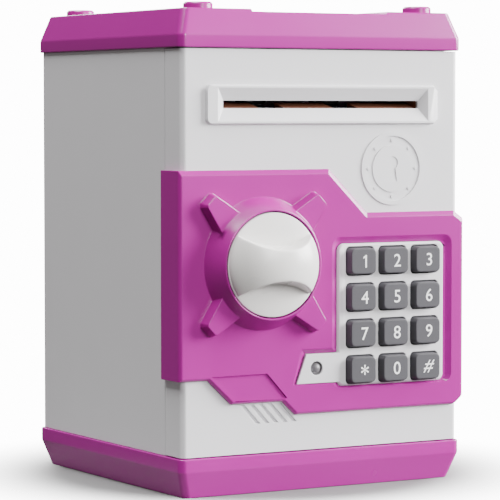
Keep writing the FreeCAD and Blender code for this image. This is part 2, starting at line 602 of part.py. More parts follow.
def door_plate():
    """Coloured plate over the door's face with the dial's cone and four spokes."""
    slab = front_prism(PLATE_OUTLINE, PLATE_Y, DOOR_REAR_Y)
    slab = slab.cut(box(HINGE_X, HALF_W + 5, HINGE_Y, 0, 0, 200))
    side = max(x for x, _ in PLATE_OUTLINE)
    corners = [e for e in slab.Edges if e.Length > 20 and abs(e.BoundBox.YMax - PLATE_Y) < 0.01
               and e.BoundBox.XLength < 0.01 and abs(abs(e.BoundBox.XMax) - side) < 0.01]
    slab = slab.makeFillet(FLANGE_R, corners)
    bevel_y = PLATE_Y + BEVEL_DEPTH
    front = inset_outline(PLATE_OUTLINE, PLATE_BEVELS)
    bevelled = Part.makeLoft([closed_wire(PLATE_OUTLINE, bevel_y), closed_wire(front, PLATE_Y)], True, True)
    bevelled = bevelled.fuse(front_prism(PLATE_OUTLINE, bevel_y, 0))
    slab = slab.common(bevelled).removeSplitter()
    slab = slab.cut(tower(HALF_W, HALF_D, CORNER_R, 0, 200))
    floor_y = PLATE_Y + RECESS_DEPTH
    sloped = Part.makeLoft([
        rounded_wire(*RECESS, 4.0, upright(PLATE_Y)), rounded_wire(*RECESS_FLOOR, 2.6, upright(floor_y)),
    ], True, True)
    wing_slope = Part.makeLoft([
        closed_wire(bezel_wing(WING_SLOPE, 0.15), PLATE_Y), closed_wire(bezel_wing(0.15, 0.15), floor_y),
    ], True, True)
    recess = front_prism(BADGE_RECESS, PLATE_Y - 1, PLATE_Y + 0.7)
    dial = cone(CONE_BASE_R, CONE_RIM_R, (KNOB_X, PLATE_Y, KNOB_Z), (KNOB_X, RIM_Y, KNOB_Z))
    collar = rod(CONE_BASE_R, (KNOB_X, FRONT_Y, KNOB_Z), (KNOB_X, PLATE_Y, KNOB_Z))
    solid = fuse([slab, dial, collar] + [spoke(t) for t in (45, 135, 225, 315)])
    well = rod(WELL_R, (KNOB_X, RIM_Y - 1, KNOB_Z), (KNOB_X, RIM_Y + WELL_DEPTH, KNOB_Z))
    under = cone(22.5, 19.0, (KNOB_X, FRONT_Y + 1, KNOB_Z), (KNOB_X, RIM_Y + 6.8, KNOB_Z))
    bore = rod(SPINDLE_R + 0.3, (KNOB_X, RIM_Y - 1, KNOB_Z), (KNOB_X, FRONT_Y, KNOB_Z))
    bores = [rod(SCREW_BORE, (x, FRONT_Y + 1, z), (x, FRONT_Y - 1.2, z)) for x, z in PLATE_SCREWS]
    hollow = [well, under, bore, sloped, wing_slope, recess, bezel_room(0.15)]
    return cut(solid, hollow + bores)


def key_places():
    """Name and middle of each key."""
    places = []
    for i, name in enumerate(KEY_NAMES):
        column, row = i % KEY_COLUMNS, i // KEY_COLUMNS
        places.append((name, KEY_X + KEY_PITCH_X * column, KEY_Z - KEY_PITCH_Z * row))
    return places


def keypad_bezel():
    """White panel round the keys with a wing for the lamp."""
    x0, x1, z0, z1 = BEZEL_RECT
    back = pane(x0, x1, z0, z1, 3.0, FRONT_Y, BEZEL_FACE_Y + 0.8)
    face = pane(x0, x1, z0, z1, 3.0, BEZEL_FACE_Y + 0.8, BEZEL_FACE_Y, 0.8)
    wing = front_prism(WING, FRONT_Y, BEZEL_FACE_Y)
    stakes = [rod(r, (x, DOOR_INNER_Y + 0.4, z), (x, FRONT_Y, z)) for x, z, r in BEZEL_STAKES]
    half_w, half_h = KEY_STEM_W / 2 + KEY_GAP, KEY_STEM_H / 2 + KEY_GAP
    start, end = DOOR_INNER_Y + 1, BEZEL_FACE_Y - 1
    holes = []
    for _, x, z in key_places():
        holes.append(pane(x - half_w, x + half_w, z - half_h, z + half_h, 1.8, start, end))
    lamp = rod(LAMP_R + 0.2, (LAMP_X, FRONT_Y + 1, LAMP_Z), (LAMP_X, BEZEL_FACE_Y - 1, LAMP_Z))
    return cut(fuse([back, face, wing] + stakes), holes + [lamp])


def key(x, z):
    """A silicone key: straight in its window, narrowing to its face."""
    half_w, half_h = KEY_STEM_W / 2, KEY_STEM_H / 2
    stem = pane(x - half_w, x + half_w, z - half_h, z + half_h, 1.6, KEY_BACK_Y, BEZEL_FACE_Y - 0.6)
    face_y = BEZEL_FACE_Y - KEY_PROUD
    crown = [
        rounded_wire(x - half_w, x + half_w, z - half_h, z + half_h, 1.6, upright(BEZEL_FACE_Y - 0.6)),
        rounded_wire(x - KEY_FACE_W / 2, x + KEY_FACE_W / 2, z - KEY_FACE_H / 2, z + KEY_FACE_H / 2, 1.8,
                     upright(face_y)),
    ]
    return fuse([stem, Part.makeLoft(crown, True, True)])


def keypad_mat():
    """Thin silicone sheet behind the keys with a dome under each."""
    sheet = box(WINDOW[0] - 1, BOARD[1], MAT_Y + 0.2, BOARD_Y, WINDOW[2] - 1, WINDOW[3] + 1)
    domes = [rod(3.2, (x, MAT_Y, z), (x, BOARD_Y, z)) for _, x, z in key_places()]
    return fuse([sheet] + domes)


BOARD_SCREWS = [(4.6, 96.8), (4.6, 40.4)]
BOARD_T = 1.6


def control_board():
    """Circuit board with its chip, resistors and connector."""
    y0 = BOARD_Y
    y1 = BOARD_Y + BOARD_T
    board = box(BOARD[0], BOARD[1], y0, y1, BOARD[2], BOARD[3])
    board = board.cut(box(-10, 3.0, y0 - 1, y1 + 1, 57.0, 101))
    chip = box(20, 30, y1, y1 + 1.6, 60, 78)
    plug = box(40, 48, y1, y1 + 3.8, 44, 50)
    small = [box(34 + 4 * i, 36 + 4 * i, y1, y1 + 0.8, 84, 87) for i in range(4)]
    holes = [rod(1.3, (x, y0 - 1, z), (x, y1 + 1, z)) for x, z in BOARD_SCREWS]
    return cut(fuse([board, chip, plug] + small), holes)


def board_screws():
    """Screws that hold the board against the door's face."""
    y = BOARD_Y + BOARD_T
    return group([screw((x, y, z), (x, DOOR_INNER_Y + 0.1, z)) for x, z in BOARD_SCREWS])


def status_led():
    """Clear lamp with a round nose."""
    nose_y = BEZEL_FACE_Y + LAMP_R - 0.3
    body = rod(LAMP_R, (LAMP_X, BOARD_Y, LAMP_Z), (LAMP_X, nose_y, LAMP_Z))
    nose = Part.makeSphere(LAMP_R, Vector(LAMP_X, nose_y, LAMP_Z))
    nose = nose.common(box(LAMP_X - 4, LAMP_X + 4, nose_y - LAMP_R, nose_y + 0.4, LAMP_Z - 4, LAMP_Z + 4))
    return fuse([body, nose])


def buzzer():
    """Round sounder on the board."""
    y = BOARD_Y + BOARD_T
    can = rod(6.0, (10, y, 86.0), (10, y + 6.5, 86.0))
    return can.cut(rod(1.0, (10, y + 5, 86.0), (10, y + 7, 86.0)))


def door_back_cover():
    """Rear cover of the door: a flange and a deep box round the mechanism."""
    inset = WALL + 0.2
    flange = box(inset - HALF_W, COVER_X1, COVER_FRONT_Y, DOOR_REAR_Y, DOOR_BOTTOM + inset, DOOR_TOP - inset)
    tub = pane(HOUSING_X0, HOUSING_X1, HOUSING_Z0, HOUSING_Z1, 3.0, COVER_FRONT_Y, HOUSING_REAR_Y)
    wall = HOUSING_WALL
    room = pane(HOUSING_X0 + wall, HOUSING_X1 - wall, HOUSING_Z0 + wall, HOUSING_Z1 - wall, 1.5,
                COVER_FRONT_Y - 1, HOUSING_REAR_Y - wall)
    bill_exit = box(-46, 46, HOUSING_REAR_Y - 4, HOUSING_REAR_Y + 1, SLOT_Z - 3.6, SLOT_Z + 2.6)
    start, end = COVER_FRONT_Y - 1, DOOR_REAR_Y + 1
    bores = [rod(SCREW_BORE + 0.1, (x, start, z), (x, end, z)) for x, z in COVER_SCREWS]
    start, end = HOUSING_REAR_Y - 4, HOUSING_REAR_Y + 1
    bores.append(rod(SPINDLE_R + RUNNING_GAP, (KNOB_X, start, KNOB_Z), (KNOB_X, end, KNOB_Z)))
    return cut(fuse([flange, tub]), [room, bill_exit] + bores)


def back_cover_screws():
    """Screws through the rear cover's flange."""
    start, end = DOOR_REAR_Y, DOOR_INNER_Y + 1.0
    return group([screw((x, start, z), (x, end, z), head_h=1.2) for x, z in COVER_SCREWS])


def plate_screws():
    """Screws from behind that hold the coloured plate."""
    return group([screw((x, DOOR_INNER_Y, z), (x, FRONT_Y - 1.1, z)) for x, z in PLATE_SCREWS])


# ---- bill feed ----------------------------------------------------------------------
CHUTE_HALF, CHUTE_WALL = 45.0, 1.6
CHUTE_Y0, CHUTE_Y1 = DOOR_INNER_Y + 0.2, HOUSING_REAR_Y - HOUSING_WALL - 0.4


def note_ramp(low):
    """A ramp on the lower guide plate, open in front of each roller."""
    half, start, end = CHUTE_HALF, CHUTE_Y0 + 0.4, FEED_Y - ROLLER_R - 2.4
    profile = [(start, low), (end, low + RAMP_RISE), (end, low)]
    corners = [Vector(-half, y, z) for y, z in profile]
    ramp = Part.Face(Part.makePolygon(corners + corners[:1])).extrude(Vector(2 * half, 0, 0))
    room = ROLLER_W / 2 + 0.8
    return cut(ramp, [box(x - room, x + room, start - 1, end + 1, low, low + 4) for x in ROLLER_XS])


def bill_chute():
    """Two guide plates between side cheeks that carry the roller shafts."""
    low, high = SLOT_Z - SLOT_H / 2, SLOT_Z + SLOT_H / 2
    half = CHUTE_HALF
    plates = [
        box(-half, half, CHUTE_Y0, CHUTE_Y1, low - 1, low),
        box(-half, half, CHUTE_Y0, CHUTE_Y1, high, high + 1),
    ]
    cheeks = [box(s * half - (CHUTE_WALL if s < 0 else 0), s * half + (CHUTE_WALL if s > 0 else 0),
                  CHUTE_Y0, CHUTE_Y1, FEED_Z - 5, IDLER_Z + 5) for s in (-1, 1)]
    room, reach = ROLLER_W / 2 + 1, ROLLER_R + 0.6
    windows = [box(x - room, x + room, FEED_Y - reach, FEED_Y + reach, low - 2, high + 2) for x in ROLLER_XS]
    bores = [rod(SHAFT_R + RUNNING_GAP, (-50, FEED_Y, z), (50, FEED_Y, z)) for z in (FEED_Z, IDLER_Z)]
    return cut(fuse(plates + cheeks + [note_ramp(low)]), windows + bores)


def rollers(z):
    """Rubber rollers on one shaft."""
    ring = []
    for x in ROLLER_XS:
        tyre = rod(ROLLER_R, (x - ROLLER_W / 2, FEED_Y, z), (x + ROLLER_W / 2, FEED_Y, z))
        ring.append(tyre.cut(rod(SHAFT_R, (x - ROLLER_W, FEED_Y, z), (x + ROLLER_W, FEED_Y, z))))
    return group(ring)


def gear_flank(teeth, radius):
    """Half the angle that a tooth fills at a given radius."""
    angle = math.radians(PRESSURE_ANGLE)
    pitch_r = GEAR_MODULE * teeth / 2
    base_r = pitch_r * math.cos(angle)
    half_pitch = (math.pi * GEAR_MODULE / 2 - BACKLASH / 2) / 2 / pitch_r
    inv_pitch = math.tan(angle) - angle
    if radius <= base_r:
        return half_pitch + inv_pitch
    roll = math.acos(base_r / radius)
    return half_pitch + inv_pitch - (math.tan(roll) - roll)


def gear(teeth, x, z, start_turn, bore_r):
    """A spur gear with involute teeth across the YZ plane."""
    pitch_r = GEAR_MODULE * teeth / 2
    tip_r, root_r = pitch_r + 0.8 * GEAR_MODULE, pitch_r - 1.1 * GEAR_MODULE
    steps = 4
    radii = [root_r + (tip_r - root_r) * i / steps for i in range(steps + 1)]
    points = []
    for tooth in range(teeth):
        middle = start_turn + TAU * tooth / teeth
        for r in radii:
            a = middle - gear_flank(teeth, r)
            points.append(Vector(x, FEED_Y + r * math.cos(a), z + r * math.sin(a)))
        for r in reversed(radii):
            a = middle + gear_flank(teeth, r)
            points.append(Vector(x, FEED_Y + r * math.cos(a), z + r * math.sin(a)))
    wheel = Part.Face(Part.makePolygon(points + points[:1])).extrude(Vector(GEAR_T, 0, 0))
    return wheel.cut(rod(bore_r, (x - 1, FEED_Y, z), (x + GEAR_T + 1, FEED_Y, z)))


def motor_can():
    """A small flat-sided motor."""
    can = rod(10.0, (19.0, FEED_Y, MOTOR_Z), (44.0, FEED_Y, MOTOR_Z))
    can = can.common(box(19, 44, FEED_Y - 11, FEED_Y + 11, MOTOR_Z - 7.6, MOTOR_Z + 7.6))
    neck = rod(3.0, (44.0, FEED_Y, MOTOR_Z), (45.6, FEED_Y, MOTOR_Z))
    return cut(fuse([can, neck]), [rod(1.0 + RUNNING_GAP, (38.0, FEED_Y, MOTOR_Z), (46, FEED_Y, MOTOR_Z))])


def motor_bracket():
    """A saddle under the motor on the rear cover."""
    y1 = HOUSING_REAR_Y - HOUSING_WALL
    saddle = box(24, 40, FEED_Y - 8, y1, MOTOR_Z - 11, MOTOR_Z - 7.6)
    stop = box(24, 40, FEED_Y + 10.0, y1, MOTOR_Z - 8, MOTOR_Z + 5)
    return fuse([saddle, stop])


# ---- lock ---------------------------------------------------------------------------
def solenoid_body():
    """Coil in a steel frame with a bore for the plunger."""
    x, y, sheet = KNOB_X, WHEEL_Y + WHEEL_T / 2, SOLENOID_SHEET
    low, high = SOLENOID_BOTTOM + sheet, SOLENOID_TOP - sheet
    frame = box(x - 7, x + 7, y - 6, y + 6, SOLENOID_BOTTOM, SOLENOID_TOP)
    side_room = box(x - 8, x + 8, y - 6 + sheet, y + 6 - sheet, low, high)
    coil = rod(COIL_R, (x, y, low), (x, y, high))
    foot = box(x - 9.5, x + 9.5, y + 5, y + 6, low + 2, high - 2)
    mount = box(x - 9.5, x + 9.5, y + 6, HOUSING_REAR_Y - HOUSING_WALL, low + 5, high - 5)
    bore = rod(PLUNGER_R + RUNNING_GAP, (x, y, low), (x, y, SOLENOID_TOP + 1))
    return cut(fuse([cut(frame, [side_room]), coil, foot, mount]), [bore])


PLUNGER_TOP = KNOB_Z - WHEEL_R - PLUNGER_GAP
COLLAR_Z, COLLAR_T, COLLAR_R = PLUNGER_TOP - COLLAR_DROP, 1.0, 3.6


def plunger():
    """Steel plunger with a collar; it rises into the lock wheel's notch."""
    x, y = KNOB_X, WHEEL_Y + WHEEL_T / 2
    stem = rod(PLUNGER_R, (x, y, SOLENOID_BOTTOM + 5), (x, y, PLUNGER_TOP))
    return fuse([stem, rod(COLLAR_R, (x, y, COLLAR_Z - COLLAR_T), (x, y, COLLAR_Z))])


def plunger_spring():
    """Coil spring between the solenoid and the plunger's collar."""
    x, y = KNOB_X, WHEEL_Y + WHEEL_T / 2
    wire_r, coil_r, turns = 0.35, 2.9, 4
    bottom = SOLENOID_TOP + wire_r + 0.05
    height = COLLAR_Z - COLLAR_T - wire_r - 0.05 - bottom
    helix = Part.makeHelix(height / turns, height, coil_r)
    ring = Part.Wire(Part.makeCircle(wire_r, Vector(coil_r, 0, 0), Vector(0, 1, 0)))
    coil = Part.Wire(helix).makePipeShell([ring], True, True)
    coil.translate(Vector(x, y, bottom))
    return coil


def knob():
    """Domed knob scooped twice, which leaves a grip bar across it."""
    x, z = KNOB_X, KNOB_Z
    back, rim, crest = RIM_Y + 4.0, RIM_Y - 0.4, RIM_Y - KNOB_HEIGHT
    skirt = rod(KNOB_R, (x, back, z), (x, rim, z))
    rise = rim - crest
    dome_r = (KNOB_R ** 2 + rise ** 2) / (2 * rise)
    dome = Part.makeSphere(dome_r, Vector(x, crest + dome_r, z))
    dome = dome.common(rod(KNOB_R, (x, crest - 1, z), (x, rim + 0.2, z)))
    floor = rim - SCOOP_FLOOR
    scoops = []
    for side in (-1, 1):
        middle = z + side * (BAR_HALF + BAR_CURVE)
        scoops.append(cone(BAR_CURVE - SCOOP_SLOPE, BAR_CURVE, (x, floor, middle), (x, crest, middle)))
    hub = rod(5.5, (x, back - 0.1, z), (x, back + 0.2, z))
    bore = rod(SPINDLE_R, (x, rim, z), (x, back + 1, z))
    return cut(fuse([skirt, dome, hub]), scoops + [bore])


def knob_spindle():
    """Round spindle from the knob through the door to the tongue."""
    shaft = rod(SPINDLE_R, (KNOB_X, RIM_Y - 0.4, KNOB_Z), (KNOB_X, TONGUE_Y + 3.2, KNOB_Z))
    return shaft.cut(rod(SCREW_BORE, (KNOB_X, TONGUE_Y - 6, KNOB_Z), (KNOB_X, TONGUE_Y + 4, KNOB_Z)))


def lock_wheel():
    """Wheel on the spindle with a notch for the plunger at each end of its turn."""
    y = WHEEL_Y
    wheel = rod(WHEEL_R, (KNOB_X, y, KNOB_Z), (KNOB_X, y + WHEEL_T, KNOB_Z))
    half = NOTCH_W / 2
    y0, y1 = y - 1, y + WHEEL_T + 1
    outer, inner = WHEEL_R + 1, WHEEL_R - NOTCH_DEPTH
    down = box(KNOB_X - half, KNOB_X + half, y0, y1, KNOB_Z - outer, KNOB_Z - inner)
    left = box(KNOB_X - outer, KNOB_X - inner, y0, y1, KNOB_Z - half, KNOB_Z + half)
    bore = rod(SPINDLE_R, (KNOB_X, y - 1, KNOB_Z), (KNOB_X, y + WHEEL_T + 1, KNOB_Z))
    return cut(wheel, [down, left, bore])


def latch_tongue():
    """Arm on the spindle's rear end; it stands up at rest and turns to the left to lock."""
    y0, y1 = TONGUE_Y, TONGUE_Y + 3.0
    hub = rod(7.0, (KNOB_X, y0, KNOB_Z), (KNOB_X, y1, KNOB_Z))
    arm = box(KNOB_X - 5, KNOB_X + 5, y0, y1, KNOB_Z, KNOB_Z + TONGUE_REACH - 5)
    tip = rod(5.0, (KNOB_X, y0, KNOB_Z + TONGUE_REACH - 5), (KNOB_X, y1, KNOB_Z + TONGUE_REACH - 5))
    bore = rod(SPINDLE_R, (KNOB_X, y0 - 1, KNOB_Z), (KNOB_X, y1 + 1, KNOB_Z))
    return fuse([hub, arm, tip]).cut(bore)


def spindle_screw():
    """Screw with a wide head that holds the tongue on the spindle."""
    return screw((KNOB_X, TONGUE_Y + 3.2, KNOB_Z), (KNOB_X, TONGUE_Y - 5, KNOB_Z), head_r=4.6)


# ---- wires --------------------------------------------------------------------------
def wire(points, radius=0.9, bend=5.0):
    """A tube along straight runs joined by tangent arcs."""
    points = [Vector(*p) for p in points]
    edges, start = [], points[0]
    for before, corner, after in zip(points, points[1:], points[2:]):
        u, v = (before - corner).normalize(), (after - corner).normalize()
        half = u.getAngle(v) / 2
        room = 0.45 * min((before - corner).Length, (after - corner).Length)
        back = min(bend / math.tan(half), room)
        turn_r = back * math.tan(half)
        a, b = corner + u * back, corner + v * back
        middle_way = (u + v).normalize()
        middle = corner + middle_way * (turn_r / math.sin(half) - turn_r)
        edges += [Part.makeLine(start, a), Part.Arc(a, middle, b).toShape()]
        start = b
    edges.append(Part.makeLine(start, points[-1]))
    path = Part.Wire(edges)
    ring = Part.Wire(Part.makeCircle(radius, points[0], points[1] - points[0]))
    return path.makePipeShell([ring], True, True)


CASE_WIRE = [
    (WIRE_HOLE_X, BAY_Y0 + 1.5, CELL_Z), (WIRE_HOLE_X, BAY_Y0 - 9, CELL_Z),
    (34.0, -46.5, 9.2), (46.0, -44.6, 8.2),
    (HINGE_X - 6.4, HINGE_Y + 6.4, 8.0), (HINGE_X - 1.2, HINGE_Y + 1.2, 8.0),
]
DOOR_WIRE = [
    (HINGE_X, HINGE_Y, 12.0), (HINGE_X, HINGE_Y, 29.0), (57.4, -54.4, 36.0),
    (54.6, -53.4, 42.0), (51.6, -52.6, 46.2), (48.3, -52.6, 47.0),
]

CASE_NODES = [
    body_shell, latch_keeper, keeper_screws, lid, base, battery_cover, battery_cover_screw, battery_cells,
    battery_contacts, battery_springs, base_screws, lid_screws, upper_hinge_pin, lower_hinge_pin,
]
DOOR_NODES = [
    door_front, door_plate, keypad_bezel, keypad_mat, control_board, board_screws, status_led, buzzer,
    door_back_cover, back_cover_screws, plate_screws, bill_chute, motor_bracket, solenoid_body,
]
LOCK_NODES = [knob, knob_spindle, lock_wheel, latch_tongue, spindle_screw, plunger, plunger_spring]

for make in CASE_NODES + DOOR_NODES + LOCK_NODES:
    export(make(), make.__name__)
for key_name, key_x, key_z in key_places():
    export(key(key_x, key_z), "key_" + key_name)
export(motor_can(), "feed_motor")
export(rod(SHAFT_R, (-47.6, FEED_Y, FEED_Z), (GEAR_X + GEAR_T, FEED_Y, FEED_Z)), "feed_shaft")
export(rod(SHAFT_R, (-47.0, FEED_Y, IDLER_Z), (46.6, FEED_Y, IDLER_Z)), "idler_shaft")
export(rollers(FEED_Z), "feed_rollers")
export(rollers(IDLER_Z), "idler_rollers")
export(gear(GEAR_TEETH, GEAR_X, FEED_Z, math.pi / 2 * 3, SHAFT_R), "feed_gear")
pinion = gear(PINION_TEETH, GEAR_X, MOTOR_Z, math.pi / 2 + math.pi / PINION_TEETH, 0.9)
motor_shaft = rod(1.0, (38.5, FEED_Y, MOTOR_Z), (GEAR_X + GEAR_T, FEED_Y, MOTOR_Z))
export(fuse([pinion, motor_shaft]), "motor_pinion")
export(wire(CASE_WIRE), "case_harness")
export(wire(DOOR_WIRE), "door_harness")
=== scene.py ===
"""Looks of a toy safe money box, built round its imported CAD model.

Every length is in metres in the CAD model's own frame: +Z up, the front at -Y.
"""
import json
import logging
import math
from dataclasses import dataclass, field
from enum import Enum

import bmesh
import bpy
import numpy as np
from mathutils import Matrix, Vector


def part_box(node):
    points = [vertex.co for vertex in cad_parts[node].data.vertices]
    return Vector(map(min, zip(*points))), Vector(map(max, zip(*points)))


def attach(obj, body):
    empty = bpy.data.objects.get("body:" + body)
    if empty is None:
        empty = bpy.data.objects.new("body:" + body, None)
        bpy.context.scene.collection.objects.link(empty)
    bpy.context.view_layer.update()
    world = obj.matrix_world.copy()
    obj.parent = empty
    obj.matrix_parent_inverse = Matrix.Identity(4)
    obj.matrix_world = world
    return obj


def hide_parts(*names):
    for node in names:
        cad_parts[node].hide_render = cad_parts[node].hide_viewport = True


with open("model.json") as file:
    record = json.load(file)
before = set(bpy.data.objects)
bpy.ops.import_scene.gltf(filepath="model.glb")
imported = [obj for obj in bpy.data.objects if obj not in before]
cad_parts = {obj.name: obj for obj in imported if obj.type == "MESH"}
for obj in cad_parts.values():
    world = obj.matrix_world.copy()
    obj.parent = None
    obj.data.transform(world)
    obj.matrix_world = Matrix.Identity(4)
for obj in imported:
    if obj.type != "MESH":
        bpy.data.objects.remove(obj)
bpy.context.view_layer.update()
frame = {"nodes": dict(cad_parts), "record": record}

log = logging.getLogger("money_box")
MM = 0.001
TAU = 2 * math.pi


# ---------------------------------------------------------------------------- colour and nodes
def linear(hex_colour: str) -> tuple[float, float, float, float]:
    """Turns an sRGB hex colour into linear RGBA.

    Args:
        hex_colour: a colour such as "#D66DBD".

    Returns:
        The linear red, green, blue and an alpha of one.
    """
    channels = np.array([int(hex_colour[i:i + 2], 16) for i in (1, 3, 5)]) / 255
    toe = channels / 12.92
    curve = ((channels + 0.055) / 1.055) ** 2.4
    red, green, blue = np.where(channels <= 0.04045, toe, curve)
    return float(red), float(green), float(blue), 1.0


def add_node(tree: bpy.types.NodeTree, kind: str, settings: dict | None = None,
             links: dict | None = None) -> bpy.types.Node:
    """Adds one shader node with its settings and the links into its sockets.

    Args:
        tree: the material's node tree.
        kind: the node's type name without the "ShaderNode" prefix.
        settings: attribute names, or input names and numbers, with their values.
        links: input names or numbers, each with the output socket that feeds it.

    Returns:
        The new node.
    """
    node = tree.nodes.new("ShaderNode" + kind)
    for key, value in (settings or {}).items():
        if isinstance(key, str) and hasattr(node, key):
            setattr(node, key, value)
        else:
            node.inputs[key].default_value = value
    for key, socket in (links or {}).items():
        tree.links.new(socket, node.inputs[key])
    return node


def new_material(name: str) -> tuple[bpy.types.Material, bpy.types.NodeTree, bpy.types.Node]:
    """Starts a material.

    Args:
        name: the material's name.

    Returns:
        The material, its node tree and its surface shader.
    """
    material = bpy.data.materials.new(name)
    material.use_nodes = True
    tree = material.node_tree
    return material, tree, tree.nodes["Principled BSDF"]


def grain_scale(size_mm: float) -> float:
    """The noise scale that gives features of a real size in millimetres."""
    return 1.0 / (size_mm * MM)


@dataclass(frozen=True)
class MouldedPlastic:
    """Injection-moulded plastic: an even colour, a satin skin and faint flow marks.

    The mould's polish leaves a fine orange-peel, which breaks up each highlight a little, and the
    melt's flow makes broad, weak changes in gloss.
    """

    name: str
    colour: str
    roughness: float
    ior: float = 1.53
    peel_mm: float = 0.9
    peel_depth_mm: float = 0.006
    flow_mm: float = 22.0
    gloss_spread: float = 0.05
    shade_spread: float = 0.025

    def build(self) -> bpy.types.Material:
        """Makes the material.

        Returns:
            The finished material.
        """
        material, tree, shader = new_material(self.name)
        place = add_node(tree, "TexCoord").outputs["Object"]
        flow = add_node(tree, "TexNoise", {"Scale": grain_scale(self.flow_mm), "Detail": 2.0},
                        {"Vector": place})
        tone = Vector(linear(self.colour))
        darker = tuple(tone * (1 - self.shade_spread))[:3] + (1.0,)
        lighter = tuple(min(c * (1 + self.shade_spread), 1.0) for c in tone[:3]) + (1.0,)
        shade = add_node(tree, "Mix", {"data_type": "RGBA", 6: darker, 7: lighter}, {0: flow.outputs["Fac"]})
        tree.links.new(shade.outputs[2], shader.inputs["Base Color"])
        low, high = self.roughness - self.gloss_spread, self.roughness + self.gloss_spread
        gloss = add_node(tree, "MapRange", {"To Min": low, "To Max": high}, {"Value": flow.outputs["Fac"]})
        tree.links.new(gloss.outputs["Result"], shader.inputs["Roughness"])
        peel = add_node(tree, "TexNoise", {"Scale": grain_scale(self.peel_mm), "Detail": 3.0},
                        {"Vector": place})
        bump = add_node(tree, "Bump", {"Strength": 1.0, "Distance": self.peel_depth_mm * MM},
                        {"Height": peel.outputs["Fac"]})
        tree.links.new(bump.outputs["Normal"], shader.inputs["Normal"])
        shader.inputs["IOR"].default_value = self.ior
        return material


@dataclass(frozen=True)
class SoftRubber:
    """Moulded silicone or rubber: matt, with a dry powdery grain and a soft bloom at the edges."""

    name: str
    colour: str
    roughness: float = 0.62
    grain_mm: float = 0.28
    grain_depth_mm: float = 0.012
    bloom: float = 0.25
    dust_gain: float = 1.12
    dust_lift: float = 0.004
    ior: float = 1.41

    def build(self) -> bpy.types.Material:
        """Makes the material.

        Returns:
            The finished material.
        """
        material, tree, shader = new_material(self.name)
        place = add_node(tree, "TexCoord").outputs["Object"]
        grain = add_node(tree, "TexNoise", {"Scale": grain_scale(self.grain_mm), "Detail": 4.0},
                         {"Vector": place})
        tone = linear(self.colour)
        dusty = tuple(min(c * self.dust_gain + self.dust_lift, 1.0) for c in tone[:3]) + (1.0,)
        shade = add_node(tree, "Mix", {"data_type": "RGBA", 6: tone, 7: dusty}, {0: grain.outputs["Fac"]})
        tree.links.new(shade.outputs[2], shader.inputs["Base Color"])
        bump = add_node(tree, "Bump", {"Strength": 1.0, "Distance": self.grain_depth_mm * MM},
                        {"Height": grain.outputs["Fac"]})
        tree.links.new(bump.outputs["Normal"], shader.inputs["Normal"])
        shader.inputs["Roughness"].default_value = self.roughness
        shader.inputs["IOR"].default_value = self.ior
        shader.inputs["Sheen Weight"].default_value = self.bloom
        shader.inputs["Sheen Roughness"].default_value = 0.5
        return material


@dataclass(frozen=True)
class PlatedMetal:
    """Zinc- or nickel-plated metal with fine drawn lines along one axis."""

    name: str
    colour: str
    roughness: float = 0.32
    line_mm: float = 0.12
    line_depth_mm: float = 0.003
    line_strength: float = 0.6
    gloss_range: tuple[float, float] = (-0.08, 0.12)
    along: tuple[float, float, float] = (1.0, 1.0, 0.05)

    def build(self) -> bpy.types.Material:
        """Makes the material.

        Returns:
            The finished material.
        """
        material, tree, shader = new_material(self.name)
        place = add_node(tree, "TexCoord").outputs["Object"]
        stretch = add_node(tree, "Mapping", {"Scale": self.along}, {"Vector": place})
        lines = add_node(tree, "TexNoise", {"Scale": grain_scale(self.line_mm), "Detail": 2.0},
                         {"Vector": stretch.outputs["Vector"]})
        low, high = (self.roughness + shift for shift in self.gloss_range)
        gloss = add_node(tree, "MapRange", {"To Min": low, "To Max": high}, {"Value": lines.outputs["Fac"]})
        tree.links.new(gloss.outputs["Result"], shader.inputs["Roughness"])
        bump = add_node(tree, "Bump", {"Strength": self.line_strength, "Distance": self.line_depth_mm * MM},
                        {"Height": lines.outputs["Fac"]})
        tree.links.new(bump.outputs["Normal"], shader.inputs["Normal"])
        shader.inputs["Base Color"].default_value = linear(self.colour)
        shader.inputs["Metallic"].default_value = 1.0
        return material


@dataclass(frozen=True)
class ClearResin:
    """Cast epoxy lens: milky, clear enough to show the cup inside."""

    name: str
    colour: str
    roughness: float = 0.08
    clarity: float = 0.75
    haze_mm: float = 1.2
    haze_spread: float = 0.08
    ior: float = 1.5

    def build(self) -> bpy.types.Material:
        """Makes the material.

        Returns:
            The finished material.
        """
        material, tree, shader = new_material(self.name)
        place = add_node(tree, "TexCoord").outputs["Object"]
        haze = add_node(tree, "TexNoise", {"Scale": grain_scale(self.haze_mm), "Detail": 1.0},
                        {"Vector": place})
        cloudiest = self.roughness + self.haze_spread
        gloss = add_node(tree, "MapRange", {"To Min": self.roughness, "To Max": cloudiest},
                         {"Value": haze.outputs["Fac"]})
        tree.links.new(gloss.outputs["Result"], shader.inputs["Roughness"])
        shader.inputs["Base Color"].default_value = linear(self.colour)
        shader.inputs["IOR"].default_value = self.ior
        shader.inputs["Transmission Weight"].default_value = self.clarity
        return material


